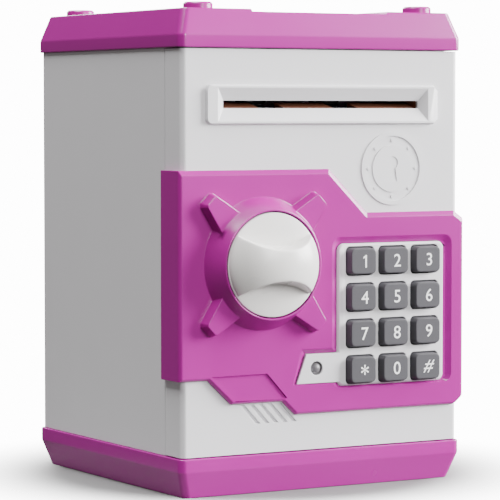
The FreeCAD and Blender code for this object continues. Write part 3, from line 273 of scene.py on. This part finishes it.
@dataclass(frozen=True)
class CircuitBoard:
    """Glass-fibre board under green solder mask, with a copper track pattern showing through."""

    name: str
    mask: str
    track: str
    cell_mm: float = 3.2
    track_edges: tuple[float, float] = (0.05, 0.09)
    roughness: float = 0.28
    ior: float = 1.5

    def build(self) -> bpy.types.Material:
        """Makes the material.

        Returns:
            The finished material.
        """
        material, tree, shader = new_material(self.name)
        place = add_node(tree, "TexCoord").outputs["Object"]
        bricks = add_node(tree, "TexVoronoi", {"feature": "DISTANCE_TO_EDGE", "distance": "CHEBYCHEV",
                                                "Scale": grain_scale(self.cell_mm)}, {"Vector": place})
        edge = add_node(tree, "MapRange", {"From Min": self.track_edges[0], "From Max": self.track_edges[1]},
                        {"Value": bricks.outputs["Distance"]})
        shade = add_node(tree, "Mix", {"data_type": "RGBA", 6: linear(self.track), 7: linear(self.mask)},
                         {0: edge.outputs["Result"]})
        tree.links.new(shade.outputs[2], shader.inputs["Base Color"])
        shader.inputs["Roughness"].default_value = self.roughness
        shader.inputs["IOR"].default_value = self.ior
        return material


@dataclass(frozen=True)
class CellSleeve:
    """Shrink sleeve on a dry cell: dark body with a copper-coloured band at the button end."""

    name: str
    body: str
    band: str
    band_from_mm: float = 14.0
    blend_mm: float = 0.2
    roughness: float = 0.3
    ior: float = 1.53

    def build(self) -> bpy.types.Material:
        """Makes the material.

        Returns:
            The finished material.
        """
        material, tree, shader = new_material(self.name)
        place = add_node(tree, "TexCoord").outputs["Object"]
        split = add_node(tree, "SeparateXYZ", links={"Vector": place})
        edge = add_node(tree, "MapRange", {"From Min": (self.band_from_mm - self.blend_mm) * MM,
                                           "From Max": self.band_from_mm * MM},
                        {"Value": split.outputs["Y"]})
        shade = add_node(tree, "Mix", {"data_type": "RGBA", 6: linear(self.body), 7: linear(self.band)},
                         {0: edge.outputs["Result"]})
        tree.links.new(shade.outputs[2], shader.inputs["Base Color"])
        shader.inputs["Roughness"].default_value = self.roughness
        shader.inputs["IOR"].default_value = self.ior
        return material


@dataclass(frozen=True)
class FadingCard:
    """A pale matt floor card that fades away evenly far from the middle."""

    name: str
    colour: str
    full_mm: float = 75.0
    gone_mm: float = 150.0
    roughness: float = 0.9
    ior: float = 1.45

    def build(self) -> bpy.types.Material:
        """Makes the material.

        Returns:
            The finished material.
        """
        material, tree, shader = new_material(self.name)
        place = add_node(tree, "TexCoord").outputs["Object"]
        reach = add_node(tree, "VectorMath", {"operation": "LENGTH"}, {0: place})
        fade = add_node(tree, "MapRange", {"interpolation_type": "SMOOTHSTEP", "From Min": self.full_mm * MM,
                                           "From Max": self.gone_mm * MM, "To Min": 1.0, "To Max": 0.0},
                        {"Value": reach.outputs["Value"]})
        tree.links.new(fade.outputs["Result"], shader.inputs["Alpha"])
        shader.inputs["Base Color"].default_value = linear(self.colour)
        shader.inputs["Roughness"].default_value = self.roughness
        shader.inputs["IOR"].default_value = self.ior
        return material


class Finish(Enum):
    """Every finish on the money box. The value says what it is made of and how."""

    PINK_ABS = MouldedPlastic("orchid_abs_moulded", "#A4128A", 0.26, gloss_spread=0.03)
    WHITE_ABS = MouldedPlastic("white_abs_moulded", "#E2E1E4", 0.32, gloss_spread=0.03, shade_spread=0.012)
    KNOB_ABS = MouldedPlastic("white_abs_polished", "#E9E7E4", 0.28, shade_spread=0.01)
    INNER_ABS = MouldedPlastic("natural_abs_moulded", "#CFCBC6", 0.48)
    DARK_ABS = MouldedPlastic("brown_abs_moulded", "#86553E", 0.55)
    BLACK_ABS = MouldedPlastic("black_abs_moulded", "#1B1B1D", 0.45)
    ACETAL = MouldedPlastic("acetal_moulded", "#EDE8D8", 0.3, ior=1.48)
    GREY_SILICONE = SoftRubber("grey_silicone_moulded", "#403F44", bloom=0.06)
    BLACK_RUBBER = SoftRubber("black_rubber_moulded", "#19191A", roughness=0.7)
    KEY_INK = SoftRubber("white_silkscreen_ink", "#F4F4F2", roughness=0.5, grain_depth_mm=0.004, bloom=0.0)
    ZINC_STEEL = PlatedMetal("zinc_plated_steel", "#B9BCC0")
    NICKEL = PlatedMetal("nickel_plated_brass", "#C9C2B0", roughness=0.25)
    EPOXY = ClearResin("clear_epoxy_cast", "#8E8A8F", roughness=0.3, clarity=0.45)
    BOARD = CircuitBoard("green_circuit_board", "#17502F", "#3B7A3C")
    SLEEVE = CellSleeve("cell_shrink_sleeve", "#23303A", "#B4703C")
    WIRE = MouldedPlastic("red_pvc_extruded", "#B0242A", 0.35)
    FLOOR = FadingCard("pale_floor_card", "#7C7C7C")


_MADE: dict[Finish, bpy.types.Material] = {}


def dressed(finish: Finish) -> bpy.types.Material:
    """The material of a finish, made once."""
    if finish not in _MADE:
        _MADE[finish] = finish.value.build()
    return _MADE[finish]


# ---------------------------------------------------------------------------- meshes
def mesh_object(name: str, points: np.ndarray, faces: list[tuple[int, ...]],
                smooth: bool = True) -> bpy.types.Object:
    """Puts points and faces into a new object at the origin.

    Args:
        name: the piece's name.
        points: an array of n by 3 coordinates.
        faces: vertex numbers of each face.
        smooth: whether the faces are shaded smooth.

    Returns:
        The linked object.
    """
    mesh = bpy.data.meshes.new(name)
    mesh.from_pydata(points.reshape(-1, 3).tolist(), [], faces)
    mesh.polygons.foreach_set("use_smooth", np.full(len(mesh.polygons), smooth))
    mesh.update()
    piece = bpy.data.objects.new(name, mesh)
    bpy.context.collection.objects.link(piece)
    return piece


def grid_faces(rows: int, columns: int) -> np.ndarray:
    """Quads of a grid of vertices, row by row, where each row closes on itself.

    Args:
        rows: number of rows.
        columns: number of vertices in a row.

    Returns:
        An array of quads. Seen from outside, a row runs anticlockwise and the rows climb outwards.
    """
    r, c = np.meshgrid(np.arange(rows - 1), np.arange(columns), indexing="ij")
    n = (c + 1) % columns
    near, far = r * columns, (r + 1) * columns
    quads = np.stack([near + c, near + n, far + n, far + c], axis=-1)
    return quads.reshape(-1, 4)


def closed_stack(name: str, rings: np.ndarray) -> bpy.types.Object:
    """A closed skin over a stack of rings, with a fan at each end.

    The first and last ring each get one more vertex at their middle.

    Args:
        name: the piece's name.
        rings: an array of rings by vertices by 3.

    Returns:
        The new object.
    """
    count, around = rings.shape[:2]
    ends = np.array([rings[0].mean(axis=0), rings[-1].mean(axis=0)])
    points = np.concatenate([rings.reshape(-1, 3), ends])
    quads = grid_faces(count, around)
    i = np.arange(around)
    j = (i + 1) % around
    low, high = count * around, count * around + 1
    start = np.stack([j, i, np.full(around, low)], axis=-1)
    top = (count - 1) * around
    finish = np.stack([top + i, top + j, np.full(around, high)], axis=-1)
    return mesh_object(name, points, quads.tolist() + start.tolist() + finish.tolist())


def rounded_outline(half_w: np.ndarray, half_h: np.ndarray, radius: np.ndarray, steps: int) -> np.ndarray:
    """Rectangles with round corners, one for each entry of the sizes.

    Each corner is a quarter turn of points: the corner circle's middle plus the radius times the
    cosine and sine of the turn.

    Args:
        half_w: half widths.
        half_h: half heights.
        radius: corner radii.
        steps: points along each quarter.

    Returns:
        An array of rings by points by 2, anticlockwise.
    """
    turn = np.linspace(0, math.pi / 2, steps)
    angles = np.concatenate([turn + q * math.pi / 2 for q in range(4)])
    side_x = np.repeat([1, -1, -1, 1], steps)
    side_z = np.repeat([1, 1, -1, -1], steps)
    w, h, r = (np.asarray(a, float)[:, None] for a in (half_w, half_h, radius))
    u = side_x * (w - r) + r * np.cos(angles)
    v = side_z * (h - r) + r * np.sin(angles)
    return np.stack([u, v], axis=-1)


def settle(piece: bpy.types.Object, body: str, slot: str, finish: Finish, *nodes: str) -> bpy.types.Object:
    """Dresses a piece, puts it on its body and names what it stands for.

    Args:
        piece: the new piece.
        body: the body that it rides on.
        slot: the record's material slot; not used.
        finish: its finish.
        nodes: the CAD nodes that it replaces.

    Returns:
        The piece.
    """
    piece.data.materials.clear()
    piece.data.materials.append(dressed(finish))
    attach(piece, body)
    if nodes:
        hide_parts(*nodes)
    log.info("%s rides on %s, replaces %s", piece.name, body, ", ".join(nodes) or "nothing")
    return piece


WIDE_FACE, LONG_EDGE = 2.4, 1.3     # room beside and beyond an edge, as multiples of its easing
MERGE_MM, FLAT_DEG = 0.002, 0.4     # vertices this close are one, and faces this level are one
BIG_FACE_WEIGHT = 80


def roomy(edge: bmesh.types.BMEdge, ease: float, turned: set) -> bool:
    """Whether an edge has room to be rounded: wide faces beside it and no short edge at its ends."""
    length = edge.calc_length()
    if any(face.calc_area() < WIDE_FACE * ease * length for face in edge.link_faces):
        return False
    for vertex in edge.verts:
        for other in vertex.link_edges:
            if other not in turned and other.calc_length() < LONG_EDGE * ease:
                return False
    return True


def eased_copy(node: str, ease_mm: float, segments: int = 2, slight_deg: float = 16.0,
               limit_deg: float = 22.0) -> bpy.types.Object:
    """A CAD node's shape with its sharp edges rounded off, as a mould leaves them.

    Edges without room stay crisp. Flat faces keep their own normals, so only the rounding shades.

    Args:
        node: the CAD node.
        ease_mm: how wide each edge is rounded.
        segments: steps across an edge.
        slight_deg: edges that turn less than this stay as they are.
        limit_deg: edges without room that turn less than this are shaded smooth.

    Returns:
        The new object, with its rounding as modifiers.
    """
    ease, slight, limit = ease_mm * MM, math.radians(slight_deg), math.radians(limit_deg)
    work = bmesh.new()
    work.from_mesh(frame["nodes"][node].data)
    bmesh.ops.remove_doubles(work, verts=work.verts, dist=MERGE_MM * MM)
    bmesh.ops.dissolve_limit(work, angle_limit=math.radians(FLAT_DEG), verts=work.verts, edges=work.edges)
    weight = work.edges.layers.float.new("bevel_weight_edge")
    turned = {edge for edge in work.edges if len(edge.link_faces) == 2 and edge.calc_face_angle(0.0) > slight}
    for edge in turned:
        room = roomy(edge, ease, turned)
        edge[weight] = 1.0 if room else 0.0
        edge.smooth = room or edge.calc_face_angle(0.0) < limit
    for face in work.faces:
        face.smooth = True
    mesh = bpy.data.meshes.new(node + "_eased")
    work.to_mesh(mesh)
    work.free()
    piece = bpy.data.objects.new(node + "_eased", mesh)
    bpy.context.collection.objects.link(piece)
    bevel = piece.modifiers.new("eased_edges", "BEVEL")
    bevel.width = ease
    bevel.segments = segments
    bevel.limit_method = "WEIGHT"
    bevel.use_clamp_overlap = False
    even = piece.modifiers.new("even_faces", "WEIGHTED_NORMAL")
    even.keep_sharp = True
    even.weight = BIG_FACE_WEIGHT
    return piece


# ---------------------------------------------------------------------------- the dial's knob
@dataclass
class DialKnob:
    """White domed knob, scooped above and below so that a grip bar is left across it."""

    radius: float = 20.3 * MM
    crest: float = 10.0 * MM
    rim_land: float = 0.5 * MM
    floor_rise: float = 1.3 * MM
    bar_half: float = 6.2 * MM
    bar_curve: float = 27.0 * MM
    wall_slope: float = 6.5
    edge_ease: float = 0.22 * MM
    foot_ease: float = 0.5 * MM
    skirt: float = 4.0 * MM
    foot_bevel: float = 0.6 * MM
    dome_power: float = 0.58
    ring_spread: float = 0.9
    pole: float = 0.004
    rings: int = 190
    lip_steps: int = 6
    spokes: int = 420

    def height(self, u: np.ndarray, v: np.ndarray) -> np.ndarray:
        """How far the front stands out of the rim's plane.

        The dome falls with the distance r from the middle as (1 - r^2)^0.58. The bar's half width
        grows towards both ends as a circle does. Past it the height falls by the wall's slope times
        the distance past, where max(x, 0) is (x + sqrt(x^2 + ease^2)) / 2, so the bar's edge is
        slightly round. The larger of that and the scoop's shallow floor, by the same smooth
        maximum, is the front, and the dome stays above both.

        Args:
            u: sideways distance from the middle.
            v: upright distance from the middle.

        Returns:
            The height.
        """
        reach = np.clip(np.hypot(u, v) / self.radius, 0, 1)
        dome = self.crest * (1 - reach ** 2) ** self.dome_power
        floor = self.floor_rise * (1 - reach ** 3)
        spread = self.bar_curve - np.sqrt(np.clip(self.bar_curve ** 2 - u ** 2, 0, None))
        past = np.abs(v) - (self.bar_half + spread)
        beyond = (past + np.sqrt(past ** 2 + self.edge_ease ** 2)) / 2
        wall = dome - self.wall_slope * beyond
        gap = wall - floor
        carved = floor + (gap + np.sqrt(gap ** 2 + self.foot_ease ** 2)) / 2
        return np.minimum(carved, dome)

    def build(self) -> bpy.types.Object:
        """Makes the knob: front, rounded rim, skirt and flat back.

        Returns:
            The dressed piece.
        """
        low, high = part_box("knob")
        middle = (np.array(low) + np.array(high)) / 2
        back = high[1]
        rim_y = back - self.skirt
        turn = np.linspace(0, TAU, self.spokes, endpoint=False)
        land = self.radius - self.rim_land
        r = land * np.linspace(1, self.pole, self.rings) ** self.ring_spread
        u = r[:, None] * np.cos(turn)
        v = r[:, None] * np.sin(turn)
        scale = self.radius / land
        front = np.stack([middle[0] + u, rim_y - self.height(u * scale, v * scale), middle[2] + v], axis=-1)
        ease = np.linspace(0, math.pi / 2, self.lip_steps)[:-1]
        edge_r = land + self.rim_land * np.cos(ease)
        edge_y = rim_y + self.rim_land - self.rim_land * np.sin(ease)
        edge = self.hoops(middle, edge_r, edge_y, turn)
        skirt = self.hoops(middle, np.array([self.radius - self.foot_bevel, self.radius, self.radius]),
                           np.array([back, back - self.foot_bevel, rim_y + 2 * self.rim_land]), turn)
        rings = np.concatenate([skirt, edge, front])
        piece = closed_stack("dial_knob", rings)
        return settle(piece, "knob_lock", "white_abs", Finish.KNOB_ABS, "knob")

    @staticmethod
    def hoops(middle: np.ndarray, radii: np.ndarray, depths: np.ndarray, turn: np.ndarray) -> np.ndarray:
        """Circles about the knob's axis: radius times cosine and sine at each depth."""
        x = middle[0] + radii[:, None] * np.cos(turn)
        z = middle[2] + radii[:, None] * np.sin(turn)
        y = np.broadcast_to(depths[:, None], x.shape)
        return np.stack([x, y, z], axis=-1)


# ---------------------------------------------------------------------------- keypad
FLAGGED_ONE = ((0.02, 0.0), (0.16, 0.0), (0.16, 1.0), (0.06, 1.0), (-0.15, 0.84), (-0.15, 0.7),
               (0.02, 0.8))


@dataclass
class Keypad:
    """Twelve silicone keys with printed legends."""

    legends: dict[str, str] = field(default_factory=lambda: {
        **{f"key_{digit}": str(digit) for digit in range(10)}, "key_star": "*", "key_hash": "#"})
    legend_height: float = 5.05 * MM
    legend_shift: float = 0.5 * MM
    ink: float = 0.05 * MM
    proud: float = 2.9 * MM
    lean_w: float = 0.55 * MM
    lean_h: float = 0.15 * MM
    gap_h: float = 0.35 * MM
    face_round: float = 0.45 * MM
    corner: float = 1.9 * MM
    foot: float = 0.4 * MM
    sink: float = 0.9 * MM
    slab_half: float = 0.01
    embolden: float = 0.004
    star_scale: float = 1.25
    slant: float = 0.35
    steps: int = 9
    face_steps: int = 7
    face_rings: tuple[float, ...] = (0.96, 0.55, 0.15)
    letter_steps: int = 6

    def key(self, node: str) -> bpy.types.Object:
        """One key: a stem, flared sides and a rounded face.

        The outline is a rectangle with round corners. Its half sizes shrink from stem to face, and
        the last quarter turn follows a circle, so the edge is round.

        Args:
            node: the CAD key that it stands for.

        Returns:
            The dressed key.
        """
        low, high = (np.array(c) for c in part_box(node))
        middle = (low + high) / 2
        half_w, half_h = (high[0] - low[0]) / 2, (high[2] - low[2]) / 2
        front, back, panel = low[1], high[1], low[1] + self.proud
        turn = np.linspace(0, math.pi / 2, self.face_steps)
        ease = self.face_round * (1 - np.cos(turn))
        inset_w = np.concatenate([[self.foot, 0, 0, 0], self.lean_w + ease])
        inset_h = np.concatenate([[self.foot, 0, 0, self.gap_h], self.gap_h + self.lean_h + ease])
        depth = np.concatenate([[back, back - self.foot, panel + self.sink, panel + self.foot],
                                front + self.face_round * (1 - np.sin(turn))])
        inner = np.array(self.face_rings)
        w = np.concatenate([half_w - inset_w, (half_w - inset_w[-1]) * inner])
        h = np.concatenate([half_h - inset_h, (half_h - inset_h[-1]) * inner])
        r = np.concatenate([np.full(len(inset_w), self.corner), self.corner * inner])
        depth = np.concatenate([depth, np.full(len(inner), front)])
        plan = rounded_outline(w, h, r, self.steps)
        y = np.broadcast_to(depth[:, None], plan.shape[:2])
        rings = np.stack([middle[0] + plan[..., 0], y, middle[2] + plan[..., 1]], axis=-1)
        piece = closed_stack("pad_" + node, rings)
        return settle(piece, node, "grey_silicone", Finish.GREY_SILICONE, node)

    def lettered(self, node: str, mark: str) -> bpy.types.Mesh:
        """A character as a thin slab, one unit high."""
        words = bpy.data.curves.new("ink_" + node, "FONT")
        words.body = mark
        words.size = 1.0
        words.offset = self.embolden
        words.extrude = self.slab_half
        words.resolution_u = self.letter_steps
        words.shear = self.slant if mark == "#" else 0.0
        holder = bpy.data.objects.new("ink_" + node, words)
        bpy.context.collection.objects.link(holder)
        mesh = bpy.data.meshes.new_from_object(holder)
        bpy.data.objects.remove(holder)
        return mesh

    def flagged_one(self, node: str) -> bpy.types.Mesh:
        """The figure one as a thin slab, with a flag at the head of its stem."""
        outline = np.array(FLAGGED_ONE)
        count = len(outline)
        front = np.column_stack([outline, np.full(count, self.slab_half)])
        back = np.column_stack([outline, np.full(count, -self.slab_half)])
        sides = [(i, i + count, (i + 1) % count + count, (i + 1) % count) for i in range(count)]
        faces = [tuple(range(count)), tuple(range(2 * count - 1, count - 1, -1))] + sides
        mesh = bpy.data.meshes.new("ink_" + node)
        mesh.from_pydata(np.concatenate([front, back]).tolist(), [], faces)
        return mesh

    def legend(self, node: str, mark: str) -> bpy.types.Object:
        """The printed mark on a key, as a thin raised film.

        Args:
            node: the CAD key under it.
            mark: the character.

        Returns:
            The dressed legend.
        """
        low, high = (np.array(c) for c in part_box(node))
        mesh = self.flagged_one(node) if mark == "1" else self.lettered(node, mark)
        flat = np.empty(len(mesh.vertices) * 3)
        mesh.vertices.foreach_get("co", flat)
        flat = flat.reshape(-1, 3)
        spread = flat.max(axis=0) - flat.min(axis=0)
        size = self.legend_height / (spread[1] * (self.star_scale if mark == "*" else 1.0))
        middle = (flat.max(axis=0) + flat.min(axis=0)) / 2
        centred = (flat - middle) * size
        x = (low[0] + high[0]) / 2 + self.legend_shift + centred[:, 0]
        z = (low[2] + high[2]) / 2 + centred[:, 1]
        y = low[1] - self.ink / 2 - np.sign(centred[:, 2]) * self.ink / 2
        mesh.vertices.foreach_set("co", np.stack([x, y, z], axis=-1).ravel())
        mesh.update()
        piece = bpy.data.objects.new("ink_" + node, mesh)
        bpy.context.collection.objects.link(piece)
        return settle(piece, node, "grey_silicone", Finish.KEY_INK)

    def build(self) -> None:
        """Makes every key and its legend."""
        for node, mark in self.legends.items():
            self.key(node)
            self.legend(node, mark)


# ---------------------------------------------------------------------------- status lamp
@dataclass
class StatusLamp:
    """A cast lamp with its reflector cup and post inside."""

    radius: float = 2.5 * MM
    collar: float = 0.12 * MM
    cup_radius: float = 1.15 * MM
    cup_sink: float = 1.9 * MM
    post_radius: float = 0.4 * MM
    tip_radius: float = 0.2 * MM
    cup_waist: float = 0.6
    cup_inside: float = 0.55
    cup_depths: tuple[float, ...] = (3.4 * MM, 1.5 * MM, 0.9 * MM, 0, 0.5 * MM, 0.62 * MM)
    pole_angle: float = 0.02
    dome_rings: int = 14
    around: int = 64

    def turned(self, name: str, middle: np.ndarray, radii: np.ndarray,
               depths: np.ndarray) -> bpy.types.Object:
        """A turned piece about the lamp's axis: x and z are radius times cosine and sine."""
        turn = np.linspace(0, TAU, self.around, endpoint=False)
        x = middle[0] + radii[:, None] * np.cos(turn)
        z = middle[2] + radii[:, None] * np.sin(turn)
        y = np.broadcast_to(depths[:, None], x.shape)
        return closed_stack(name, np.stack([x, y, z], axis=-1))

    def build(self) -> None:
        """Makes the lens, and the cup and post that show through it."""
        low, high = (np.array(c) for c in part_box("status_led"))
        middle = (low + high) / 2
        front, back = low[1], high[1]
        dome = np.linspace(self.pole_angle, math.pi / 2, self.dome_rings)[::-1]
        radii = np.concatenate([[self.radius - self.collar, self.radius], self.radius * np.sin(dome)])
        depths = np.concatenate([[back, back - self.collar], front + self.radius * (1 - np.cos(dome))])
        lens = self.turned("lamp_lens", middle, radii, depths)
        settle(lens, "door", "clear_lens", Finish.EPOXY, "status_led")
        cup = self.cup_radius
        inside = front + self.cup_sink
        radii = np.array([self.post_radius, cup * self.cup_waist, cup, cup, cup * self.cup_inside,
                          self.tip_radius])
        depths = inside + np.array(self.cup_depths)
        settle(self.turned("lamp_cup", middle, radii, depths), "door", "zinc_steel", Finish.ZINC_STEEL)


# ---------------------------------------------------------------------------- mouldings
@dataclass
class Mouldings:
    """Casings and covers: CAD shapes with their edges eased as the mould leaves them."""

    eases: dict[str, tuple[float, str, str, Finish]] = field(default_factory=lambda: {
        "lid": (0.5, "case", "pink_abs", Finish.PINK_ABS),
        "base": (0.5, "case", "pink_abs", Finish.PINK_ABS),
        "body_shell": (0.3, "case", "white_abs", Finish.WHITE_ABS),
        "battery_cover": (0.25, "case", "pink_abs", Finish.PINK_ABS),
        "door_front": (0.18, "door", "white_abs", Finish.WHITE_ABS),
        "door_plate": (0.3, "door", "pink_abs", Finish.PINK_ABS),
        "keypad_bezel": (0.3, "door", "white_abs", Finish.WHITE_ABS),
        "door_back_cover": (0.4, "door", "inner_abs", Finish.INNER_ABS),
        "latch_tongue": (0.3, "knob_lock", "inner_abs", Finish.INNER_ABS),
        "latch_keeper": (0.15, "case", "zinc_steel", Finish.ZINC_STEEL),
    })

    def build(self) -> None:
        """Makes each eased casing in place of its CAD node."""
        for node, (ease, body, slot, finish) in self.eases.items():
            settle(eased_copy(node, ease), body, slot, finish, node)


CAD_FINISHES = {
    "pink_abs": Finish.PINK_ABS,
    "white_abs": Finish.WHITE_ABS,
    "inner_abs": Finish.INNER_ABS,
    "grey_silicone": Finish.GREY_SILICONE,
    "black_rubber": Finish.BLACK_RUBBER,
    "zinc_steel": Finish.ZINC_STEEL,
    "acetal_gears": Finish.ACETAL,
    "green_board": Finish.BOARD,
    "black_abs": Finish.BLACK_ABS,
    "clear_lens": Finish.EPOXY,
    "cell_sleeve": Finish.SLEEVE,
    "wire_pvc": Finish.WIRE,
}
CAD_EXCEPTIONS = {
    "bill_chute": Finish.DARK_ABS,
    "battery_contacts": Finish.NICKEL,
    "battery_springs": Finish.NICKEL,
}


def dress_cad_nodes() -> None:
    """Gives every CAD node the finish of its slot, or its own where it differs."""
    for row in frame["record"]["subparts"]:
        node = row["node"]
        finish = CAD_EXCEPTIONS.get(node, CAD_FINISHES[row["material_slot"]])
        mesh = frame["nodes"][node].data
        mesh.materials.clear()
        mesh.materials.append(dressed(finish))


# ---------------------------------------------------------------------------- studio
@dataclass(frozen=True)
class SoftLight:
    """A square soft light, with its place and side in metres."""

    name: str
    place: tuple[float, float, float]
    size: float
    watts: float


def towards(azimuth_deg: float, elevation_deg: float) -> Vector:
    """The way from the box to a place at an azimuth, 0 in front and 90 at +X, and an elevation."""
    azimuth, elevation = math.radians(azimuth_deg), math.radians(elevation_deg)
    level = math.cos(elevation)
    return Vector((math.sin(azimuth) * level, -math.cos(azimuth) * level, math.sin(elevation)))


@dataclass
class Studio:
    """Pale floor, soft lights and a long lens from the front left, a little above."""

    azimuth_deg: float = -30.05
    elevation_deg: float = 3.02
    target: tuple[float, float, float] = (2.13 * MM, 0.0, 91.85 * MM)
    distance: float = 1092.0 * MM
    lens_mm: float = 189.2
    floor_reach: float = 0.55
    floor_sides: int = 96
    sky_seen: float = 14.0
    sky_light: float = 0.16
    sky_tint: tuple[float, float, float, float] = (1.0, 0.95, 0.92, 1.0)
    far_clip: float = 50.0
    lights: tuple[SoftLight, ...] = (
        SoftLight("key_light", (1.99, -0.88, 0.84), 1.3, 238.0),
        SoftLight("fill_light", (0.30, -2.17, 0.80), 0.8, 35.0),
        SoftLight("top_light", (-0.52, -0.03, 1.88), 1.3, 74.0),
        SoftLight("back_light", (0.50, 1.88, 1.31), 1.0, 30.0),
    )

    def build(self) -> None:
        """Makes the floor, the lights, the sky and the camera."""
        turn = np.linspace(0, TAU, self.floor_sides, endpoint=False)
        rim = np.stack([np.cos(turn), np.sin(turn), np.zeros_like(turn)], axis=-1) * self.floor_reach
        floor = mesh_object("studio_floor", rim, [tuple(range(self.floor_sides))], smooth=False)
        floor.data.materials.append(dressed(Finish.FLOOR))
        for light in self.lights:
            self.lamp(light)
        self.sky()
        self.camera()

    def sky(self) -> None:
        """A dim even sky that lights the box, seen as a white backdrop."""
        world = bpy.data.worlds.new("studio_sky")
        bpy.context.scene.world = world
        world.use_nodes = True
        tree = world.node_tree
        dim = tree.nodes["Background"]
        dim.inputs["Color"].default_value = self.sky_tint
        dim.inputs["Strength"].default_value = self.sky_light
        bright = add_node(tree, "Background", {"Color": (1.0, 1.0, 1.0, 1.0), "Strength": self.sky_seen})
        path = add_node(tree, "LightPath")
        both = add_node(tree, "MixShader", links={
            0: path.outputs["Is Camera Ray"],
            1: dim.outputs["Background"],
            2: bright.outputs["Background"],
        })
        tree.links.new(both.outputs["Shader"], tree.nodes["World Output"].inputs["Surface"])

    def lamp(self, light: SoftLight) -> None:
        """Adds a soft light that faces the box."""
        lamp = bpy.data.lights.new(light.name, "AREA")
        lamp.size = light.size
        lamp.energy = light.watts
        holder = bpy.data.objects.new(light.name, lamp)
        holder.location = light.place
        aim = Vector(self.target) - Vector(light.place)
        holder.rotation_euler = aim.to_track_quat("-Z", "Y").to_euler()
        bpy.context.collection.objects.link(holder)

    def camera(self) -> None:
        """Adds the camera on its sphere round the target."""
        away = towards(self.azimuth_deg, self.elevation_deg)
        lens = bpy.data.cameras.new("camera")
        lens.lens = self.lens_mm
        lens.clip_end = self.far_clip
        eye = bpy.data.objects.new("camera", lens)
        eye.location = Vector(self.target) + away * self.distance
        eye.rotation_euler = (-away).to_track_quat("-Z", "Y").to_euler()
        bpy.context.collection.objects.link(eye)
        bpy.context.scene.camera = eye


def main() -> None:
    """Builds every piece in order."""
    logging.basicConfig(level=logging.INFO, format="%(name)s: %(message)s")
    dress_cad_nodes()
    Mouldings().build()
    DialKnob().build()
    Keypad().build()
    StatusLamp().build()
    Studio().build()


if __name__ == "__main__":
    main()
